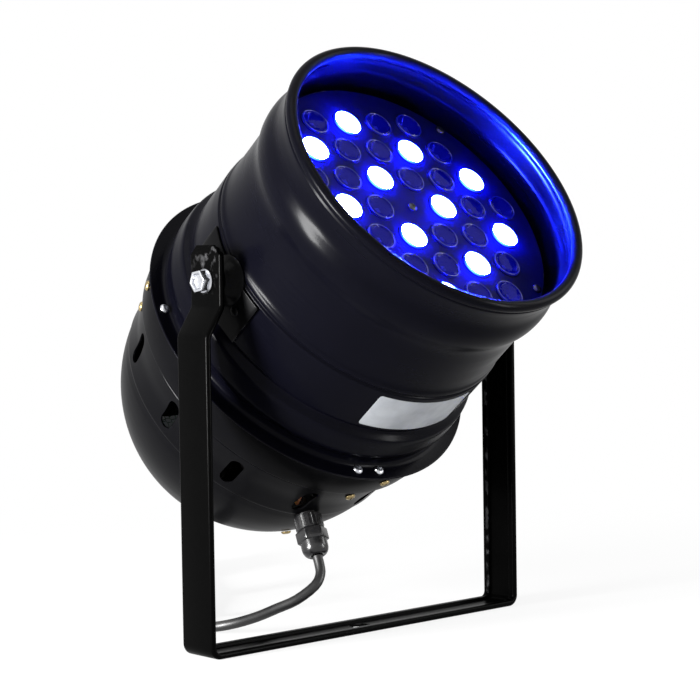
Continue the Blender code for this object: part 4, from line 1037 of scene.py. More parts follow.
@dataclass
class Lead:
    """The free mains lead: from the gland to the floor, a standing hank, its tie and its plug."""

    diameter: float = 0.0068
    gland_top: float = 0.030
    hank_start: Vector = field(default_factory=lambda: Vector((-0.0610, 0.0960, 0.0)))
    heading: Vector = field(default_factory=lambda: Vector((0.611, 0.791, 0.0)).normalized())
    fold: float = 0.041
    run: float = 0.140
    step: float = 0.0076
    waist: float = 0.10
    turn_points: int = 9
    run_points: int = 6
    tie_sheet: float = 0.0009
    tie_width: float = 0.010
    plug_length: float = 0.050
    plug_width: float = 0.018
    plug_height: float = 0.026
    plug_sleeve: float = 0.012
    sleeve_pitch: float = 0.0028
    grip_pitch: float = 0.004

    @property
    def low(self) -> float:
        """Return the height of the centreline on the floor."""
        return self.diameter / 2 + 0.0001

    @property
    def side(self) -> Vector:
        """Return the level direction across the hank."""
        return Vector((self.heading.y, -self.heading.x, 0.0))

    def hank_points(self) -> list[Vector]:
        """Return the hank's centreline: a run out, a climbing run back and a run out.

        Returns:
            The points in order.
        """
        half_fold = self.fold / 2
        half_step = self.step / 2
        first = self.diameter + half_fold
        last = first + self.run
        line: list[Vector] = []

        def add(along: float, height: float, across: float) -> None:
            """Add one point by its place along, over and across the hank."""
            line.append(self.hank_start + self.heading * along + UP * (self.low + height)
                        + self.side * across)

        def stretch(start: float, end: float, height: float, inward: int, begin: float,
                    finish: float) -> None:
            """Add a run between the two folds.

            Args:
                start: Place along the hank at which it starts.
                end: Place at which it ends.
                height: Height of its ends.
                inward: Which way the tie draws it, 1 for up.
                begin: Place across the hank at which it starts.
                finish: Place across at which it ends.
            """
            for index in range(self.run_points + 1):
                share = index / self.run_points
                along = start + (end - start) * share
                ease = share * share * (3 - 2 * share)
                place = min(1.0, max(0.0, (along - first) / self.run))
                drawn = self.waist * self.fold * math.sin(math.pi * place) ** 2
                add(along, height + inward * drawn, begin + (finish - begin) * ease)

        def turn(centre: float, sense: int, across: float, start: float) -> None:
            """Add a half turn at one end.

            Args:
                centre: Place of its centre along the hank.
                sense: Which way it bulges, 1 for onwards.
                across: Its place across the hank.
                start: Angle at which it starts, 0 at the bottom.
            """
            for index in range(1, self.turn_points):
                angle = start + math.pi * index / self.turn_points
                add(centre + sense * half_fold * math.sin(angle - start),
                    half_fold - half_fold * math.cos(angle), across)

        add(0.0, 0.0, -half_step)
        stretch(self.diameter, last, 0.0, 1, -half_step, -half_step)
        turn(last, 1, -half_step, 0.0)
        stretch(last, first, self.fold, -1, -half_step, half_step)
        turn(first, -1, half_step, math.pi)
        stretch(first, last + half_fold + self.diameter, 0.0, 1, half_step, half_step)
        return line

    def route(self, gland: Matrix) -> tuple[list[Vector], float]:
        """Return the whole lead's centreline and its length.

        Args:
            gland: The gland's frame in the world.

        Returns:
            The points, and the length along them.
        """
        outward = gland.to_3x3() @ UP
        mouth = gland.translation + outward * (self.gland_top + SEAT)
        hank = self.hank_points()
        entry = hank[0] - self.heading * SEAT
        down = [(-0.0238, 0.0124, 0.0372), (-0.0292, 0.0119, 0.0306), (-0.0400, 0.0179, 0.0220),
                (-0.0500, 0.0265, 0.0165), (-0.0600, 0.0345, 0.0115), (-0.0706, 0.0440, 0.0075),
                (-0.0775, 0.0560, 0.0046), (-0.0772, 0.0680, self.low)]
        floor = [entry - self.heading * before for before in (0.025, 0.012, 0.0)]
        line = flow([mouth, mouth + outward * self.diameter, *down, *floor], 3) + flow(hank, 2)[1:]
        return line, sum((b - a).length for a, b in zip(line, line[1:]))

    def build(self, gland: Matrix) -> None:
        """Build the lead with its tie and plug.

        Args:
            gland: The gland's frame in the world.
        """
        points, length = self.route(gland)
        lead = Form().along(points, self.diameter / 2).piece(
            "mains_lead", FINISH.rubber, Body.YOKE, STILL, ["cord_stretch", "cord_hank"], 50.0)
        lead.parent = None
        lead.matrix_world = STILL
        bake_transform(lead)
        tie = self._tie()
        plug = self._plug(points[-1] + self.heading * SEAT)
        log.info("mains_lead: %.3f m over %d points", length, len(points))

    def _tie(self) -> Object:
        """Return the woven strap round the hank's waist.

        Returns:
            The strap.
        """
        middle = self.diameter + self.fold / 2 + self.run / 2
        centre = self.hank_start + self.heading * middle + UP * (self.low + self.fold / 2)
        tall = self.fold / 2 - self.waist * self.fold + self.diameter / 2 + SEAT
        wide = self.step / 2 + self.diameter / 2 + SEAT
        corner = self.diameter * 0.275
        outer = wide + self.tie_sheet
        half = self.tie_width / 2
        sweep = Sweep([(x, corner - tall, z)
                       for x, z in ((wide, -half), (outer, -half), (outer, half), (wide, half))])
        way = Vector((0.0, 1.0, 0.0))
        lengths = [2 * (tall - corner), 2 * (wide - corner)] * 2
        for reach, (sx, sy) in zip(lengths, ((1, 1), (-1, 1), (-1, -1), (1, -1))):
            sweep.straight(way * reach, 3)
            sweep.bend((sx * (wide - corner), sy * (tall - corner), 0.0), UP, QUARTER, 6)
            way = Matrix.Rotation(QUARTER, 3, UP) @ way
        bmesh.ops.remove_doubles(sweep.form.mesh, verts=sweep.form.mesh.verts[:], dist=1e-6)
        return sweep.form.piece("lead_tie", FINISH.plastic, Body.YOKE,
                                frame_at(centre, self.side, UP, self.heading), ["cord_tie"])

    def _plug(self, start: Vector) -> Object:
        """Return the slim plug, standing on its edge, with grip ribs and a ribbed sleeve.

        Args:
            start: Where the lead ends.

        Returns:
            The plug.
        """
        radius = self.diameter / 2
        lift = self.plug_height / 2 - radius
        body = Form().block((self.plug_length, self.plug_width, self.plug_height),
                            (self.plug_sleeve + self.plug_length / 2, 0.0, lift)).eased(0.0035, 4)
        sleeve = [(0.0, radius), (0.0, radius + 0.0006)]
        for index in range(4):
            near = 0.001 + self.sleeve_pitch * index
            grown = radius + 0.0008 + 0.00022 * index
            sleeve += [(near, grown), (near + 0.0016, grown), (near + 0.0019, grown - 0.0005),
                       (near + 0.0026, grown - 0.0005)]
        sleeve += [(self.plug_sleeve + 0.001, radius + 0.0016), (self.plug_sleeve + 0.001, radius)]
        body.turned(sleeve, 32, spin(QUARTER, "Y"))
        ribs = Form()
        for index in range(5):
            for side in (-1, 1):
                ribs.block((0.0016, 0.0012, self.plug_height * 0.62),
                           (self.plug_sleeve + 0.008 + self.grip_pitch * index,
                            side * (self.plug_width / 2 - 0.0004), lift))
        body.added(ribs.eased(0.0003, 1))
        return body.piece("lead_plug", FINISH.plastic, Body.YOKE,
                          frame_at(start, self.heading, -self.side, UP), ["cord_plug"])


@dataclass
class Yoke:
    """U of hemmed steel strip with joggled ears."""

    leg_outer: float = 0.1365
    ear_outer: float = 0.1250
    strip: float = 0.030
    hem: float = 0.0055
    sheet: float = 0.002
    ear_top: float = 0.2545
    joggle_top: float = 0.2170
    joggle_low: float = 0.1990
    upper_bend: float = 0.0055
    lower_bend: float = 0.0095
    base_bend: float = 0.0075
    chamfer: float = 0.007
    bolt_hole: float = 0.0043
    clamp_hole: float = 0.0075
    fold: float = 0.0017

    def section(self) -> list[tuple[float, float, float]]:
        """Return the strip's section at the middle of the base, outer face down.

        Returns:
            Its corners in order, in the world.
        """
        edge = self.strip / 2
        thick = 2 * self.sheet
        lip = edge - self.hem
        half: list[Point] = [(lip - 0.0006, self.sheet)]
        half += arc((lip + 0.0006, self.sheet + 0.0014), 0.0006, 180, 90, 4)
        half += arc((edge - self.fold, thick - self.fold), self.fold, 90, 0, 6)
        half += arc((edge - self.fold, self.fold), self.fold, 0, -90, 6)
        mirrored = [(-y, z) for y, z in reversed(half)]
        return [(0.0, y, z) for y, z in half + mirrored]

    def build(self) -> None:
        """Sweep the half U from the base up one leg, mirror it and cut its holes."""
        lean = self.leg_outer - self.ear_outer
        climb = self.joggle_top - self.joggle_low
        turn = math.atan2(lean, climb)
        lower = self.lower_bend * math.tan(turn / 2)
        upper = self.upper_bend * math.tan(turn / 2)
        axis = Vector((0.0, 1.0, 0.0))
        flat = self.leg_outer - self.base_bend
        sweep = Sweep(self.section())
        sweep.straight(Vector((-flat, 0.0, 0.0)), 2)
        sweep.bend((-flat, 0.0, self.base_bend), axis, QUARTER, 10)
        sweep.straight(UP * (self.joggle_low - lower - self.base_bend), 2)
        sweep.bend((self.lower_bend - self.leg_outer, 0.0, self.joggle_low - lower), axis, turn, 6)
        slant = math.hypot(lean, climb) - lower - upper
        sweep.straight(Vector((math.sin(turn), 0.0, math.cos(turn))) * slant)
        sweep.bend((-self.ear_outer - self.upper_bend, 0.0, self.joggle_top + upper), axis, -turn, 6)
        sweep.straight(UP * (self.ear_top - self.joggle_top - upper))
        mesh = sweep.form.mesh
        bmesh.ops.contextual_create(mesh, geom=sweep.ring)
        everything = mesh.verts[:] + mesh.edges[:] + mesh.faces[:]
        bmesh.ops.mirror(mesh, geom=everything, matrix=STILL, merge_dist=1e-6, axis="X")
        sweep.form.without(self._cutters()).piece("yoke_strip", FINISH.steel, Body.YOKE, STILL, ["yoke"])

    def _cutters(self) -> Form:
        """Return the pivot holes, the clamp hole and the ear corners as closed shapes.

        Returns:
            The closed shapes, in one form.
        """
        reach = self.leg_outer * 1.1
        across = shift(z=CAN.pivot_height) @ spin(QUARTER, "Y")
        cutter = Form().round_bar(self.bolt_hole, -reach, reach, 32, across)
        cutter.round_bar(self.clamp_hole, -self.sheet, 2 * self.sheet, 48)
        bar = self.chamfer * math.sqrt(2)
        for side in (-1, 1):
            corner = shift(y=side * self.strip / 2, z=self.ear_top) @ spin(QUARTER / 2, "X")
            cutter.block((2 * reach, bar, bar), matrix=corner)
        return cutter


@dataclass
class Barrel:
    """Spun front barrel with its rolled lip, and the blank sticker under its band."""

    lip_station: float = 0.1014
    lip_radius: float = 0.1057
    lip_tube: float = 0.0036
    flange_station: float = -0.058
    sticker_low: float = -0.0218
    sticker_high: float = 0.0066
    sticker_start: float = math.radians(-19.5)
    sticker_end: float = math.radians(22.6)
    sticker_corner: float = 0.0028
    sticker_sheet: float = 0.00016
    sticker_gap: float = 0.00005

    def profile(self) -> list[Point]:
        """Return the closed section of the sheet.

        Returns:
            The points in order.
        """
        lip = arc((self.lip_station, self.lip_radius), self.lip_tube, -150, 140, 22)
        collar = flow([(0.0975, 0.10840), (0.0955, 0.10790), (0.0920, 0.10700), (0.0880, 0.10640),
                       (0.0842, 0.10620), (0.0810, 0.10655), (0.0780, 0.10740), (0.0750, 0.10820),
                       (0.0720, 0.10860), (0.0680, 0.10862), (0.0640, 0.10810), (0.0605, 0.10705),
                       (0.0570, 0.10600), (0.0530, 0.10535), (0.0480, 0.10515)], 3)
        tube = flow([(0.0460, 0.10515), (0.0300, 0.10530), (0.0190, 0.10560)], 3)
        ridge = flow([(0.0165, 0.10590), (0.0148, 0.10665), (0.0130, 0.10690), (0.0120, 0.10655),
                      (0.0113, 0.10590), (0.0107, 0.10600), (0.0101, 0.10680), (0.0095, 0.10720)], 3)
        band = [(0.0090, 0.1072), (-0.0070, 0.1072), (-0.0235, 0.1072)]
        bead = flow([(-0.0245, 0.10705), (-0.0255, 0.10660), (-0.0264, 0.10660), (-0.0280, 0.10830),
                     (-0.0296, 0.11060), (-0.0306, 0.11150), (-0.0330, 0.11200), (-0.0370, 0.11220),
                     (-0.0440, 0.11250), (-0.0470, 0.11180), (-0.0500, 0.10980), (-0.0530, 0.10905),
                     (-0.0558, 0.10940), (-0.0572, 0.11040)], 3)
        flange = [(-0.0579, 0.1118), (self.flange_station, 0.1136), (self.flange_station, 0.1200)]
        flange += arc((-0.0586, 0.1204), 0.0006, 0, 180, 7)
        inner = [(-0.0592, 0.1112), (-0.0572, 0.1091), (-0.0530, 0.1078), (-0.0500, 0.1086),
                 (-0.0470, 0.1106), (-0.0440, 0.1113), (-0.0370, 0.1110), (-0.0306, 0.1103),
                 (-0.0280, 0.1070), (-0.0245, 0.1060), (0.0090, 0.1060), (0.0130, 0.1056),
                 (0.0190, 0.1043), (0.0480, 0.1039)]
        mouth = flow([(0.0530, 0.10410), (0.0570, 0.10480), (0.0605, 0.10585), (0.0640, 0.10690),
                      (0.0680, 0.10742), (0.0720, 0.10735), (0.0760, 0.10640), (0.0790, 0.10520),
                      (0.0820, 0.10400), (0.0850, 0.10350), (0.0880, 0.10400), (0.0910, 0.10500),
                      (0.0940, 0.10575), (0.0965, 0.10560), (0.0978, 0.10470)], 3)
        return lip + collar + tube + ridge + band + bead + flange + inner + mouth
    def build(self) -> None:
        """Spin the barrel and lay the sticker on its band."""
        Form().turned(self.profile()).piece("front_barrel_shell", FINISH.barrel, Body.CAN,
                                            replaces=["front_barrel"])
        self._sticker()

    def _sticker(self) -> None:
        """Lay a thin blank sticker with rounded corners round the underside of the band."""
        radius = BAND_RADIUS + self.sticker_gap
        size = (radius * (self.sticker_end - self.sticker_start), self.sticker_high - self.sticker_low, 1.0)
        form = Form()
        mesh = form.mesh
        bmesh.ops.create_grid(mesh, x_segments=48, y_segments=3, size=0.5)
        bmesh.ops.scale(mesh, vec=size, verts=mesh.verts[:])
        corners = [v for v in mesh.verts if len(v.link_edges) == 2]
        bmesh.ops.bevel(mesh, geom=corners, offset=self.sticker_corner, offset_type="OFFSET", segments=5,
                        profile=0.5, affect="VERTICES", clamp_overlap=False, material=-1)
        for vert in mesh.verts:
            angle = (self.sticker_start + self.sticker_end) / 2 + vert.co.x / radius
            vert.co = ray(angle) * radius + UP * ((self.sticker_low + self.sticker_high) / 2 + vert.co.y)
        form.outward()
        if sum(face.calc_center_median().xy.dot(face.normal.xy) for face in mesh.faces) < 0:
            bmesh.ops.reverse_faces(mesh, faces=mesh.faces[:])
        bmesh.ops.solidify(mesh, geom=mesh.faces[:], thickness=-self.sticker_sheet)
        form.piece("blank_sticker", FINISH.sticker, Body.CAN)


@dataclass
class Mouth:
    """Lens plate with 36 lenses, twelve of them lit."""

    pitch: float = 0.0275
    lens_radius: float = 0.0097
    lens_back: float = -0.0012
    rise: float = 0.0020
    edge: float = 0.0008
    holder_wall: float = 0.0008
    rings: int = 3
    plate_radius: float = 0.1015
    plate_sheet: float = 0.0015
    screw_ring: float = 0.09725

    def places(self) -> list[tuple[Matrix, bool]]:
        """Return each lens's place and whether its LED is on.

        Returns:
            The places, each with True where it is lit.
        """
        first = Vector((1.0, 0.0)) * self.pitch
        second = Vector((-0.5, -math.sqrt(3) / 2)) * self.pitch
        steps = range(-self.rings, self.rings + 1)
        return [(shift(*(first * q + second * r), PLATE_STATION), (q + r) % 3 == 1)
                for q in steps for r in steps if abs(q - r) <= self.rings and (q or r)]

    def dome(self) -> list[Point]:
        """Return a clear lens's outer line: a raised rim round a shallow dome.

        Returns:
            The points in order.
        """
        r = self.lens_radius - self.holder_wall - 0.0001
        line = [(self.lens_back, 0.0), (self.lens_back, r)]
        line += arc((self.rise - self.edge, r - self.edge), self.edge, 90, -55, 10)
        low, foot = line[-1]
        crown = self.rise - 0.0003
        shares = [1.0 - index / 12 for index in range(1, 13)]
        return line + [(low + (crown - low) * (1.0 - share * share), foot * share) for share in shares]

    def disc(self) -> list[Point]:
        """Return a lit lens's outer line: a low drum with an eased edge.

        Returns:
            The points in order.
        """
        r = self.lens_radius
        line = [(self.lens_back, 0.0), (self.lens_back, r * 0.985), (0.0, r)]
        line += arc((self.rise - 0.0007, r - 0.0005), 0.0005, 90, 10, 5)
        return line + [(self.rise, r * 0.6), (self.rise, 0.0)]

    def holder(self) -> list[Point]:
        """Return a black holder's outer line: a dark cup under the lens and a ring round it.

        Returns:
            The points in order.
        """
        r = self.lens_radius
        half = self.holder_wall / 2
        return [(-0.0074, 0.0), (-0.0074, r * 0.62), (-0.0016, r),
                *arc((self.rise - 0.0009, r - half), half, 90, -90, 7), (-0.0016, r - self.holder_wall),
                (-0.0060, r * 0.52), (-0.0066, r * 0.30), (-0.0066, 0.0)]

    def build(self) -> None:
        """Build the plate, the lenses and their cups."""
        self._plate()
        clear, lit = ([place for place, on in self.places() if on is wanted] for wanted in (False, True))
        for name, finish, line, places, nodes, crease in (
                ("clear_lenses", FINISH.lens, self.dome(), clear, ["lens_array"], 50.0),
                ("lit_lenses", FINISH.lit, self.disc(), lit, (), 50.0),
                ("lens_holders", FINISH.cup, self.holder(), clear, (), 32.0)):
            form = Form().added(Form().turned(line, 48, ring=False), *places)
            form.piece(name, finish, Body.CAN, replaces=nodes, crease=crease)

    def _plate(self) -> None:
        """Cut the lens holes in the plate and round their edges with a fine bezel."""
        low, wide, ease = PLATE_STATION - self.plate_sheet, self.plate_radius, 0.0003
        disc = [(low, 0.0), (low, wide), (PLATE_STATION - ease, wide), (PLATE_STATION, wide - ease),
                (PLATE_STATION, 0.0)]
        places = [place for place, _ in self.places()]
        holes = Form()
        for place in places:
            holes.round_bar(self.lens_radius + SEAT, -self.plate_sheet - 0.004, 0.004, 36, place)
        plate = Form().turned(disc, 128, ring=False).without(holes)
        rim = [(rise, self.lens_radius + out) for rise, out in (
            (0.0, 0.0001), (0.0004, 0.0002), (0.0005, 0.0005), (0.0003, 0.0009), (0.0, 0.0010))]
        bezel = Form().added(Form().turned(rim, 36), *places)
        plate.added(bezel.outward()).piece("lens_plate", FINISH.plate, Body.CAN, replaces=["led_plate"])


@dataclass
class RearShell:
    """Tapered rear ring and the slotted, domed bowl behind it."""

    ring_front: float = -0.0595
    ring_rear: float = -0.0870
    ring_rear_radius: float = 0.1123
    ring_front_radius: float = 0.1180
    ring_bore: float = 0.1102
    skirt_front: float = -0.0649
    dome_centre: float = -0.1094
    dome_radius: float = 0.1038
    dome_depth: float = 0.1095
    dome_steps: int = 34
    rear_face: float = -0.2030
    slot_station: float = -0.1075
    slot_length: float = 0.0253
    slot_width: float = 0.010
    slot_count: int = 12
    slot_first: float = math.radians(16.5)
    opening: float = 0.045
    wire_radius: float = 0.00105

    def surface(self, station: float, angle: float) -> Matrix:
        """Return a frame on the dome, +Z square to it.

        Args:
            station: Distance along the can's axis.
            angle: Angle round the can in radians.

        Returns:
            The frame, in the can's own coordinates.
        """
        behind = station - self.dome_centre
        radius = self.dome_radius * math.sqrt(1 - (behind / self.dome_depth) ** 2)
        slope = -(self.dome_radius / self.dome_depth) ** 2 * behind / radius
        return CAN.around(angle, radius, station, slope)

    def ring_profile(self) -> list[Point]:
        """Return the ring's closed section.

        Returns:
            The points in order.
        """
        front, back = self.ring_front, self.ring_rear
        wide, slim = self.ring_front_radius, self.ring_rear_radius
        outer = arc((front - 0.0009, wide - 0.0008), 0.0009, 0, 80, 6) + [(back + 0.0012, slim + 0.0002)]
        outer += arc((back + 0.0007, slim - 0.0006), 0.0007, 100, 180, 5)
        return outer + [(back, slim - SHELL), (front - SHELL, wide - SHELL - 0.0002),
                        (front - SHELL, self.ring_bore), (front, self.ring_bore)]

    def bowl_profile(self) -> list[Point]:
        """Return the bowl's closed section.

        Returns:
            The points in order.
        """
        back = self.ring_rear
        skirt = self.ring_rear_radius - SHELL - SEAT
        band = [(self.skirt_front, skirt), (back - 0.0002, skirt)]
        band += arc((back - 0.0014, 0.1086), 0.0010, 60, 150, 5)
        band += flow([(back - 0.0030, 0.10945), (back - 0.0110, 0.10760), (back - 0.0210, 0.10520),
                      (back - 0.0310, 0.10400), (back - 0.0378, 0.10335)], 5)
        crease = [(back - 0.0386, 0.10300), (back - 0.0392, 0.10235), (back - 0.0400, 0.10215)]
        first = math.asin((self.dome_centre - (back - 0.0410)) / self.dome_depth)
        last = math.asin((self.dome_centre - self.rear_face) / self.dome_depth)
        turns = [first + (last - first) * index / self.dome_steps for index in range(self.dome_steps + 1)]
        dome = [(self.dome_centre - self.dome_depth * math.sin(t), self.dome_radius * math.cos(t))
                for t in turns]
        edge = dome.pop()
        rim = [(edge[0] + 0.0006, edge[1] + 0.0007), (edge[0], edge[1] - 0.0014)]
        face = [(self.rear_face, self.opening), (self.rear_face + SHELL, self.opening)]
        wall = [(x + SHELL * math.sin(t), r - SHELL * math.cos(t)) for (x, r), t in zip(dome, turns)]
        inner = [(self.rear_face + SHELL, wall[-1][1] - 0.003)] + wall[::-1][1::2]
        inner += [(back - 0.0378, 0.1020), (back - 0.0310, 0.1027), (back - 0.0210, 0.1039),
                  (back - 0.0110, 0.1063), (back - 0.0030, 0.1082), (back, skirt - SHELL),
                  (self.skirt_front, skirt - SHELL)]
        return band + crease + dome[1:] + rim + face + inner

    def slots(self) -> Form:
        """Return one stadium-shaped cutter for each vent slot.

        Returns:
            The cutters, in one form.
        """
        half = (self.slot_length - self.slot_width) / 2
        outline = arc((0.0, half), self.slot_width / 2, 0, 180, 11)
        outline += arc((0.0, -half), self.slot_width / 2, 180, 360, 11)
        cutter = Form()
        for index in range(self.slot_count):
            out = ray(self.slot_first + math.tau * index / self.slot_count)
            spot = out * self.dome_radius + UP * self.slot_station
            cutter.prism(outline, -0.010, 0.010, frame_at(spot, UP.cross(out), UP, out))
        return cutter

    def build(self) -> None:
        """Spin the ring and the bowl, cut the slots and hang the wires behind them."""
        Form().turned(self.ring_profile()).piece("rear_ring_shell", FINISH.bowl, Body.CAN,
                                                 replaces=["rear_ring"])
        bowl = Form().turned(self.bowl_profile(), 220).without(self.slots())
        bowl.piece("rear_bowl_shell", FINISH.bowl, Body.CAN, replaces=["rear_bowl"], crease=28.0)
        self._wires()

    def _wires(self) -> None:
        """Run three thin insulated wires along the wall behind the first slot."""
        for index, finish in enumerate((FINISH.wire_brown, FINISH.wire_amber, FINISH.wire_blue)):
            line = []
            for share in (step / 16 for step in range(17)):
                sway = math.radians(2.2 * (index - 1) + 1.8 * math.sin(5.0 * share + 1.3 * index))
                radius = 0.0985 - 0.0016 * index - 0.008 * (2 * share - 1) ** 2
                spot = ray(self.slot_first + sway) * radius - UP * (0.094 + 0.044 * share)
                line.append(CAN.matrix @ spot)
            Form().along(line, self.wire_radius).piece(f"inner_wire_{index + 1}", finish, Body.CAN, STILL,
                                                       crease=50.0)


@dataclass
class Screws:
    """Pan-head screws with cross recesses."""

    head_radius: float = 0.0034
    head_height: float = 0.0022
    flange_ring: float = 0.1141
    flange_station: float = -0.058
    ring_setback: float = 0.017
    bowl_setback: float = 0.009
    dome_setback: float = 0.055
    dome_angle: float = math.radians(2)

    def head(self) -> Form:
        """Return one screw head, seated on its z = 0.

        Returns:
            The head.
        """
        r, h = self.head_radius, self.head_height
        skirt = 0.0005
        turns = [QUARTER * index / 6 for index in range(1, 7)]
        line = [(SEAT, 0.0), (SEAT, r * 0.97), (skirt, r)]
        line += [(skirt + (h - skirt) * math.sin(t), r * (0.45 + 0.55 * math.cos(t))) for t in turns]
        wide, slim = r * 0.58, r * 0.13
        outline = [(x * math.cos(a) - y * math.sin(a), x * math.sin(a) + y * math.cos(a))
                   for a in (index * QUARTER for index in range(4))
                   for x, y in ((wide, slim), (slim, slim), (slim, wide))]
        cross = Form().prism(outline, h * 0.58, h * 1.5, spin(0.4))
        return Form().turned(line + [(h, 0.0)], 28, ring=False).without(cross)

    def place(self, name: str, finish: Finish, places: Sequence[Matrix], nodes: Sequence[str] = ()) -> None:
        """Put a head at each place on the can, as one piece that stands for some nodes."""
        Form().added(self.head(), *places).piece(name, finish, Body.CAN, replaces=nodes)

    def build(self, mouth: Mouth, shell: RearShell) -> None:
        """Place every small screw of the can by its plating.

        Args:
            mouth: The lens plate, for its screws.
            shell: The rear shell, for the screws on it.
        """
        plate = [*diagonals(mouth.screw_ring, PLATE_STATION), shift(z=PLATE_STATION)]
        flange = [Matrix.Translation(ray(math.radians(angle)) * self.flange_ring + UP * self.flange_station)
                  for angle in (12, 102, 192, 282, 3.4)]
        fall = shell.ring_front_radius - shell.ring_rear_radius
        reach = shell.ring_front - shell.ring_rear
        ring_radius = shell.ring_rear_radius + fall / (reach - SHELL) * self.ring_setback
        bowl_fall = (0.0058 - 0.0038) / (0.011 - 0.002)
        bowl_radius = shell.dome_radius + 0.0038 + bowl_fall * 0.002
        station = shell.ring_rear + self.ring_setback
        ring = [CAN.around(math.radians(angle), ring_radius, station, fall / reach)
                for angle in (-3, 117, 237)]
        bowl = [CAN.around(math.radians(angle), bowl_radius, shell.ring_rear - self.bowl_setback, bowl_fall)
                for angle in (1, 121, 241)]
        self.place("plate_screws", FINISH.black_screw, plate, [*numbered("plate_screw", 4), "centre_screw"])
        self.place("flange_screws", FINISH.zinc, flange, [*numbered("flange_screw", 4), "earth_screw"])
        self.place("shell_screws", FINISH.brass, ring + bowl,
                   numbered("ring_screw", 3) + numbered("bowl_screw", 3))
        self.place("rear_dome_screw", FINISH.brass,
                   [shell.surface(shell.dome_centre - self.dome_setback, self.dome_angle)], ["dome_screw"])


@dataclass
class Pivot:
    """One end of the tilt axis: saddle bracket with its boss, rivets, washer, bolt and nut."""

    side: Side
    from_angle: float = math.radians(74)
    to_angle: float = math.radians(110)
    sheet: float = 0.0017
    band_front: float = 0.009
    band_rear: float = -0.024
    pad_face: float = 0.1175
    ear_outer: float = 0.1250
    bore: float = 0.0043
    washer_radius: float = 0.0085
    washer_thickness: float = 0.0049
    bolt_flange: float = 0.0077
    bolt_flats: float = 0.0125
    bolt_height: float = 0.0065
    bolt_shank: float = 0.0040
    bolt_length: float = 0.032

    def build(self) -> None:
        """Build every piece of this end."""
        word = self.side.word
        self._bracket().piece(f"saddle_{word}", FINISH.bracket, Body.CAN, replaces=[f"bracket_{word}"])
        dome = [(SEAT, 0.0), (SEAT, 0.0032), (0.0005, 0.0032), (0.0010, 0.0027), (0.0014, 0.0018),
                (0.0016, 0.0008), (0.0016, 0.0)]
        middle = (self.from_angle + self.to_angle) / 2
        spread = (self.to_angle - self.from_angle) / 2 - math.radians(6)
        spots = [CAN.around(-self.side.value * (middle + step * spread), BAND_RADIUS + SEAT + self.sheet,
                            (self.band_rear + 0.010) / 2) for step in (-1, 1)]
        rivets = Form().added(Form().turned(dome, 24, ring=False), *spots)
        rivets.piece(f"saddle_rivets_{word}", FINISH.bracket, Body.CAN,
                     replaces=numbered(f"rivet_{word}", 2))
        line = CAN.matrix @ CAN.pivot_line(self.side)
        low, high, edge = self.pad_face + SEAT, self.pad_face + SEAT + self.washer_thickness, 0.0004
        ring = [(low, self.bore), (low, self.washer_radius - edge), (low + edge, self.washer_radius),
                (high - edge, self.washer_radius), (high, self.washer_radius - edge), (high, self.bore)]
        Form().turned(ring, 40).piece(f"pivot_washer_{word}", FINISH.plastic, Body.CAN, line,
                                      [f"washer_{word}"])
        self._bolt().piece(f"pivot_bolt_{word}", FINISH.zinc, Body.CAN, line, [f"bolt_{word}"], 24.0)

    def _bracket(self) -> Form:
        """Return the saddle plate with its drawn boss.

        Returns:
            The bracket.
        """
        radius = BAND_RADIUS + SEAT
        outer = radius + self.sheet
        plate = [(self.band_rear, radius), (self.band_front, radius), (self.band_front, outer),
                 (self.band_rear, outer)]
        sense = self.side.value
        form = Form().turned(plate, 24, angle=sense * (self.to_angle - self.from_angle),
                             start=sense * self.from_angle - QUARTER)
        form.eased(0.00035, 2, 50.0)
        root = radius + self.sheet * 0.6
        boss = [(root - 0.0010, self.bore), (root - 0.0010, 0.0164), (root, 0.0160)]
        boss += flow([(root + 0.0008, 0.0150), (root + 0.0022, 0.0137), (root + 0.0050, 0.0119),
                      (self.pad_face - 0.0010, 0.0108)], 4)
        boss += arc((self.pad_face - 0.0006, 0.0100), 0.0006, 90, 0, 4) + [(self.pad_face, self.bore)]
        return form.added(Form().turned(boss, 56).outward(), CAN.pivot_line(self.side))

    def _bolt(self) -> Form:
        """Return a flanged hexagon bolt with a dished head.

        Returns:
            The bolt.
        """
        seat = self.ear_outer + SEAT
        rim = self.bolt_flange
        flange = [(seat, 0.0), (seat, rim), (seat + 0.0006, rim), (seat + 0.0016, rim - 0.0007),
                  (seat + 0.0016, 0.0)]
        head = Form().round_bar(self.bolt_flats / math.sqrt(3), seat + 0.0010, seat + self.bolt_height, 6)
        top = max(head.mesh.faces, key=lambda face: face.calc_center_median().z)
        for inset, dish in ((0.0016, 0.0), (0.0006, -0.0024)):
            bmesh.ops.inset_region(head.mesh, faces=[top], thickness=inset, depth=dish)
        form = Form().turned(flange, 48, ring=False).added(head.eased(0.0005, 3, 25.0))
        return form.round_bar(self.bolt_shank, seat - self.bolt_length, seat + 0.001, 24)


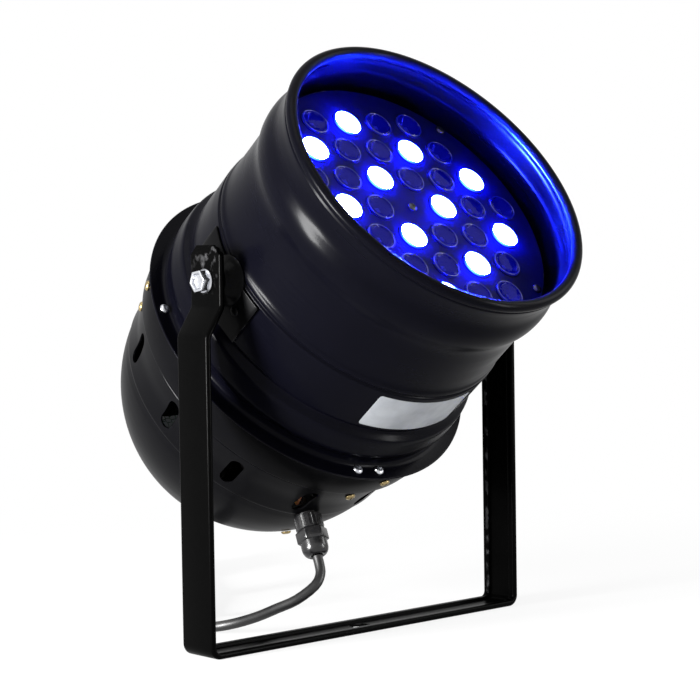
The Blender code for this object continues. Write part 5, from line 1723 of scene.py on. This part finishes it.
@dataclass
class Gland:
    """Nylon cable gland: ribbed neck, hexagon and domed cap."""

    station: float = -0.126
    angle: float = math.radians(9)
    neck_radius: float = 0.0093
    neck_height: float = 0.0115
    hexagon: float = 0.019
    hexagon_height: float = 0.008
    cap_radius: float = 0.009
    cap_height: float = 0.0105
    bore: float = 0.0037
    thread_radius: float = 0.0078
    rib_count: int = 20

    def build(self, place: Matrix) -> None:
        """Build the gland on its frame in the can.

        Args:
            place: The gland's frame on the can.
        """
        spot = CAN.matrix @ place
        low, high, wide, ease = 0.0014, self.neck_height, self.neck_radius, 0.0006
        form = Form().turned([(low, self.bore), (low, wide - ease), (low + ease, wide), (high - ease, wide),
                              (high, wide - ease), (high, self.bore)], 48)
        ribs = Form()
        for index in range(self.rib_count):
            ribs.block((0.0008, 0.0014, 0.0080), (wide - 0.00015, 0.0, 0.0062),
                       spin(math.tau * index / self.rib_count))
        form.added(ribs.eased(0.0002, 1)).round_bar(self.thread_radius, -0.012, 0.003, 32)
        form.piece("gland_neck", FINISH.plastic, Body.CAN, spot, ["gland_body"])
        shoulder = high + SEAT + self.hexagon_height
        top = high + self.hexagon_height + self.cap_height
        nut = Form().round_bar(self.hexagon / math.sqrt(3), high + SEAT, shoulder, 6).eased(0.0008, 3, 30.0)
        cap = [(shoulder - 0.001, self.bore), (shoulder - 0.001, self.cap_radius)]
        cap += flow([(top - below, self.cap_radius * share) for below, share in (
            (0.0062, 1.0), (0.0044, 0.98), (0.0024, 0.90), (0.0008, 0.76), (0.0, 0.60))], 4)
        cap += [(top - 0.0004, self.bore + 0.0004), (top - 0.0012, self.bore)]
        nut.added(Form().turned(cap, 56).outward())
        nut.piece("gland_nut", FINISH.plastic, Body.CAN, spot, ["gland_cap"], 28.0)


@dataclass
class RearPanel:
    """Control panel on the bowl's flat back: display, four buttons and two signal sockets."""

    radius: float = 0.050
    sheet: float = 0.002
    station: float = -0.2033
    button_radius: float = 0.003
    button_pitch: float = 0.012
    button_row: float = 0.006
    display: tuple[float, float, float] = (0.034, 0.015, 0.024)
    display_trim: float = 0.003
    socket_radius: float = 0.012
    socket_bore: float = 0.0088
    socket_spread: float = 0.018
    socket_row: float = -0.020
    pin_ring: float = 0.0042
    screw_ring: float = 0.0465
    screw_head: tuple[float, float] = (0.0026, 0.0016)

    def build(self) -> None:
        """Build the panel and what it carries."""
        length, width, row = self.display
        rim = [(-0.0005, 0.0), (-0.0001, 0.0004), (0.0, 0.0006), (0.0, self.radius)]
        disc = [(0.0, 0.0), (0.0, self.radius)]
        disc += [(self.sheet + rise, self.radius - inside) for rise, inside in rim]
        buttons = [shift((index - 1.5) * self.button_pitch, self.button_row) for index in range(4)]
        sockets = [shift(side * self.socket_spread, self.socket_row) for side in (-1, 1)]
        cutter = Form().block((length, width, 0.01), (0.0, row, 0.0))
        for spot in buttons:
            cutter.round_bar(self.button_radius + SEAT, -0.01, 0.01, 24, spot)
        for spot in sockets:
            cutter.round_bar(self.socket_radius - 0.0017, -0.01, 0.01, 32, spot)
        panel = Form().turned(disc, 96, ring=False).without(cutter)
        trim = Form().block((length + self.display_trim, width + self.display_trim, 0.0009),
                            (0.0, row, self.sheet + 0.0002)).eased(0.0004)
        panel.added(trim.without(Form().block((length, width, 0.01), (0.0, row, self.sheet))))
        back = shift(z=self.station) @ spin(math.pi, "Y")
        place = CAN.matrix @ back
        panel.piece("control_panel", FINISH.bracket, Body.CAN, place, ["rear_panel"])
        glass = Form().block((length - 2 * SEAT, width - 2 * SEAT, 0.0055), (0.0, row, -0.0013))
        glass.eased(0.0004).piece("display_glass", FINISH.window, Body.CAN, place, ["display"])
        self._buttons(buttons, place)
        self._sockets(sockets, place)
        heads = [back @ spot for spot in diagonals(self.screw_ring, self.sheet - 0.0002)]
        Screws(*self.screw_head).place("panel_screw_heads", FINISH.black_screw, heads)

    def _buttons(self, spots: list[Matrix], place: Matrix) -> None:
        """Build the push buttons, each on its own body.

        Args:
            spots: Their places on the panel.
            place: The panel's frame in the world.
        """
        r, face = self.button_radius, self.sheet
        line = [(-0.0028, 0.0), (-0.0028, r + 0.001), (-SEAT, r + 0.001), (-SEAT, r), (face + 0.0019, r),
                (face + 0.0023, r * 0.88), (face + 0.0025, r * 0.6), (face + 0.0022, 0.0)]
        for spot, button in zip(spots, numbered("button", len(spots))):
            Form().turned(line, 32, spot, ring=False).piece(f"push_{button}", FINISH.plastic, button, place,
                                                            [button])

    def _sockets(self, spots: list[Matrix], place: Matrix) -> None:
        """Build the round signal sockets with their pins and latch notch.

        Args:
            spots: Their places on the panel.
            place: The panel's frame in the world.
        """
        low = self.sheet + SEAT
        bore, wide, neck = self.socket_bore, self.socket_radius, self.socket_radius - 0.002
        ring = [(-0.016, 0.0), (-0.016, neck), (low, neck), (low, wide - 0.0003), (low + 0.0004, wide),
                (low + 0.0015, wide), (low + 0.0020, wide - 0.0005), (low + 0.0020, bore + 0.0006),
                (low + 0.0012, bore), (-0.0108, bore), (-0.0108, 0.0)]
        for name, spot in zip(("signal_in", "signal_out"), spots):
            form = Form().turned(ring, 48, spot, ring=False)
            for pin in arc((0.0, 0.0), self.pin_ring, 0, 240, 3):
                form.round_bar(0.0012, -0.0112, -0.0012, 16, spot @ shift(*pin), 0.0010)
            form.block((0.0026, 0.0015, 0.0105), (0.0, bore - 0.0006, -0.0052), spot)
            form.piece(f"{name}_socket", FINISH.plastic, Body.CAN, place, [name])


@dataclass
class Interior:
    """Inner parts that keep their solids and get their finishes."""

    nodes: dict[str, Finish] = field(default_factory=lambda: {
        "led_board": FINISH.board, "control_board": FINISH.board, "heat_sink": FINISH.aluminium,
        "chassis_plate": FINISH.aluminium, "power_supply": FINISH.aluminium,
        "plate_ring": FINISH.bracket, "nut_left": FINISH.zinc, "nut_right": FINISH.zinc,
        "gland_locknut": FINISH.plastic, "plug_contact_1": FINISH.brass,
        "plug_contact_2": FINISH.brass})

    def build(self) -> None:
        """Give each node that still shows its procedural finish."""
        for name, finish in self.nodes.items():
            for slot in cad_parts[name].material_slots:
                slot.material = finish.material()
            log.info("%s keeps its solid", name)


def main() -> None:
    """Build the scene: camera and lead first, then the object from the yoke inwards."""
    logging.basicConfig(level=logging.INFO, format="%(name)s %(message)s")
    PhotoCamera().build()
    shell = RearShell()
    gland = Gland()
    gland_place = shell.surface(gland.station, gland.angle)
    Lead().build(CAN.matrix @ gland_place)
    Studio().build()
    Yoke().build()
    Barrel().build()
    mouth = Mouth()
    mouth.build()
    shell.build()
    for side in Side:
        Pivot(side).build()
    gland.build(gland_place)
    RearPanel().build()
    Screws().build(mouth, shell)
    Interior().build()


if __name__ == "__main__":
    main()
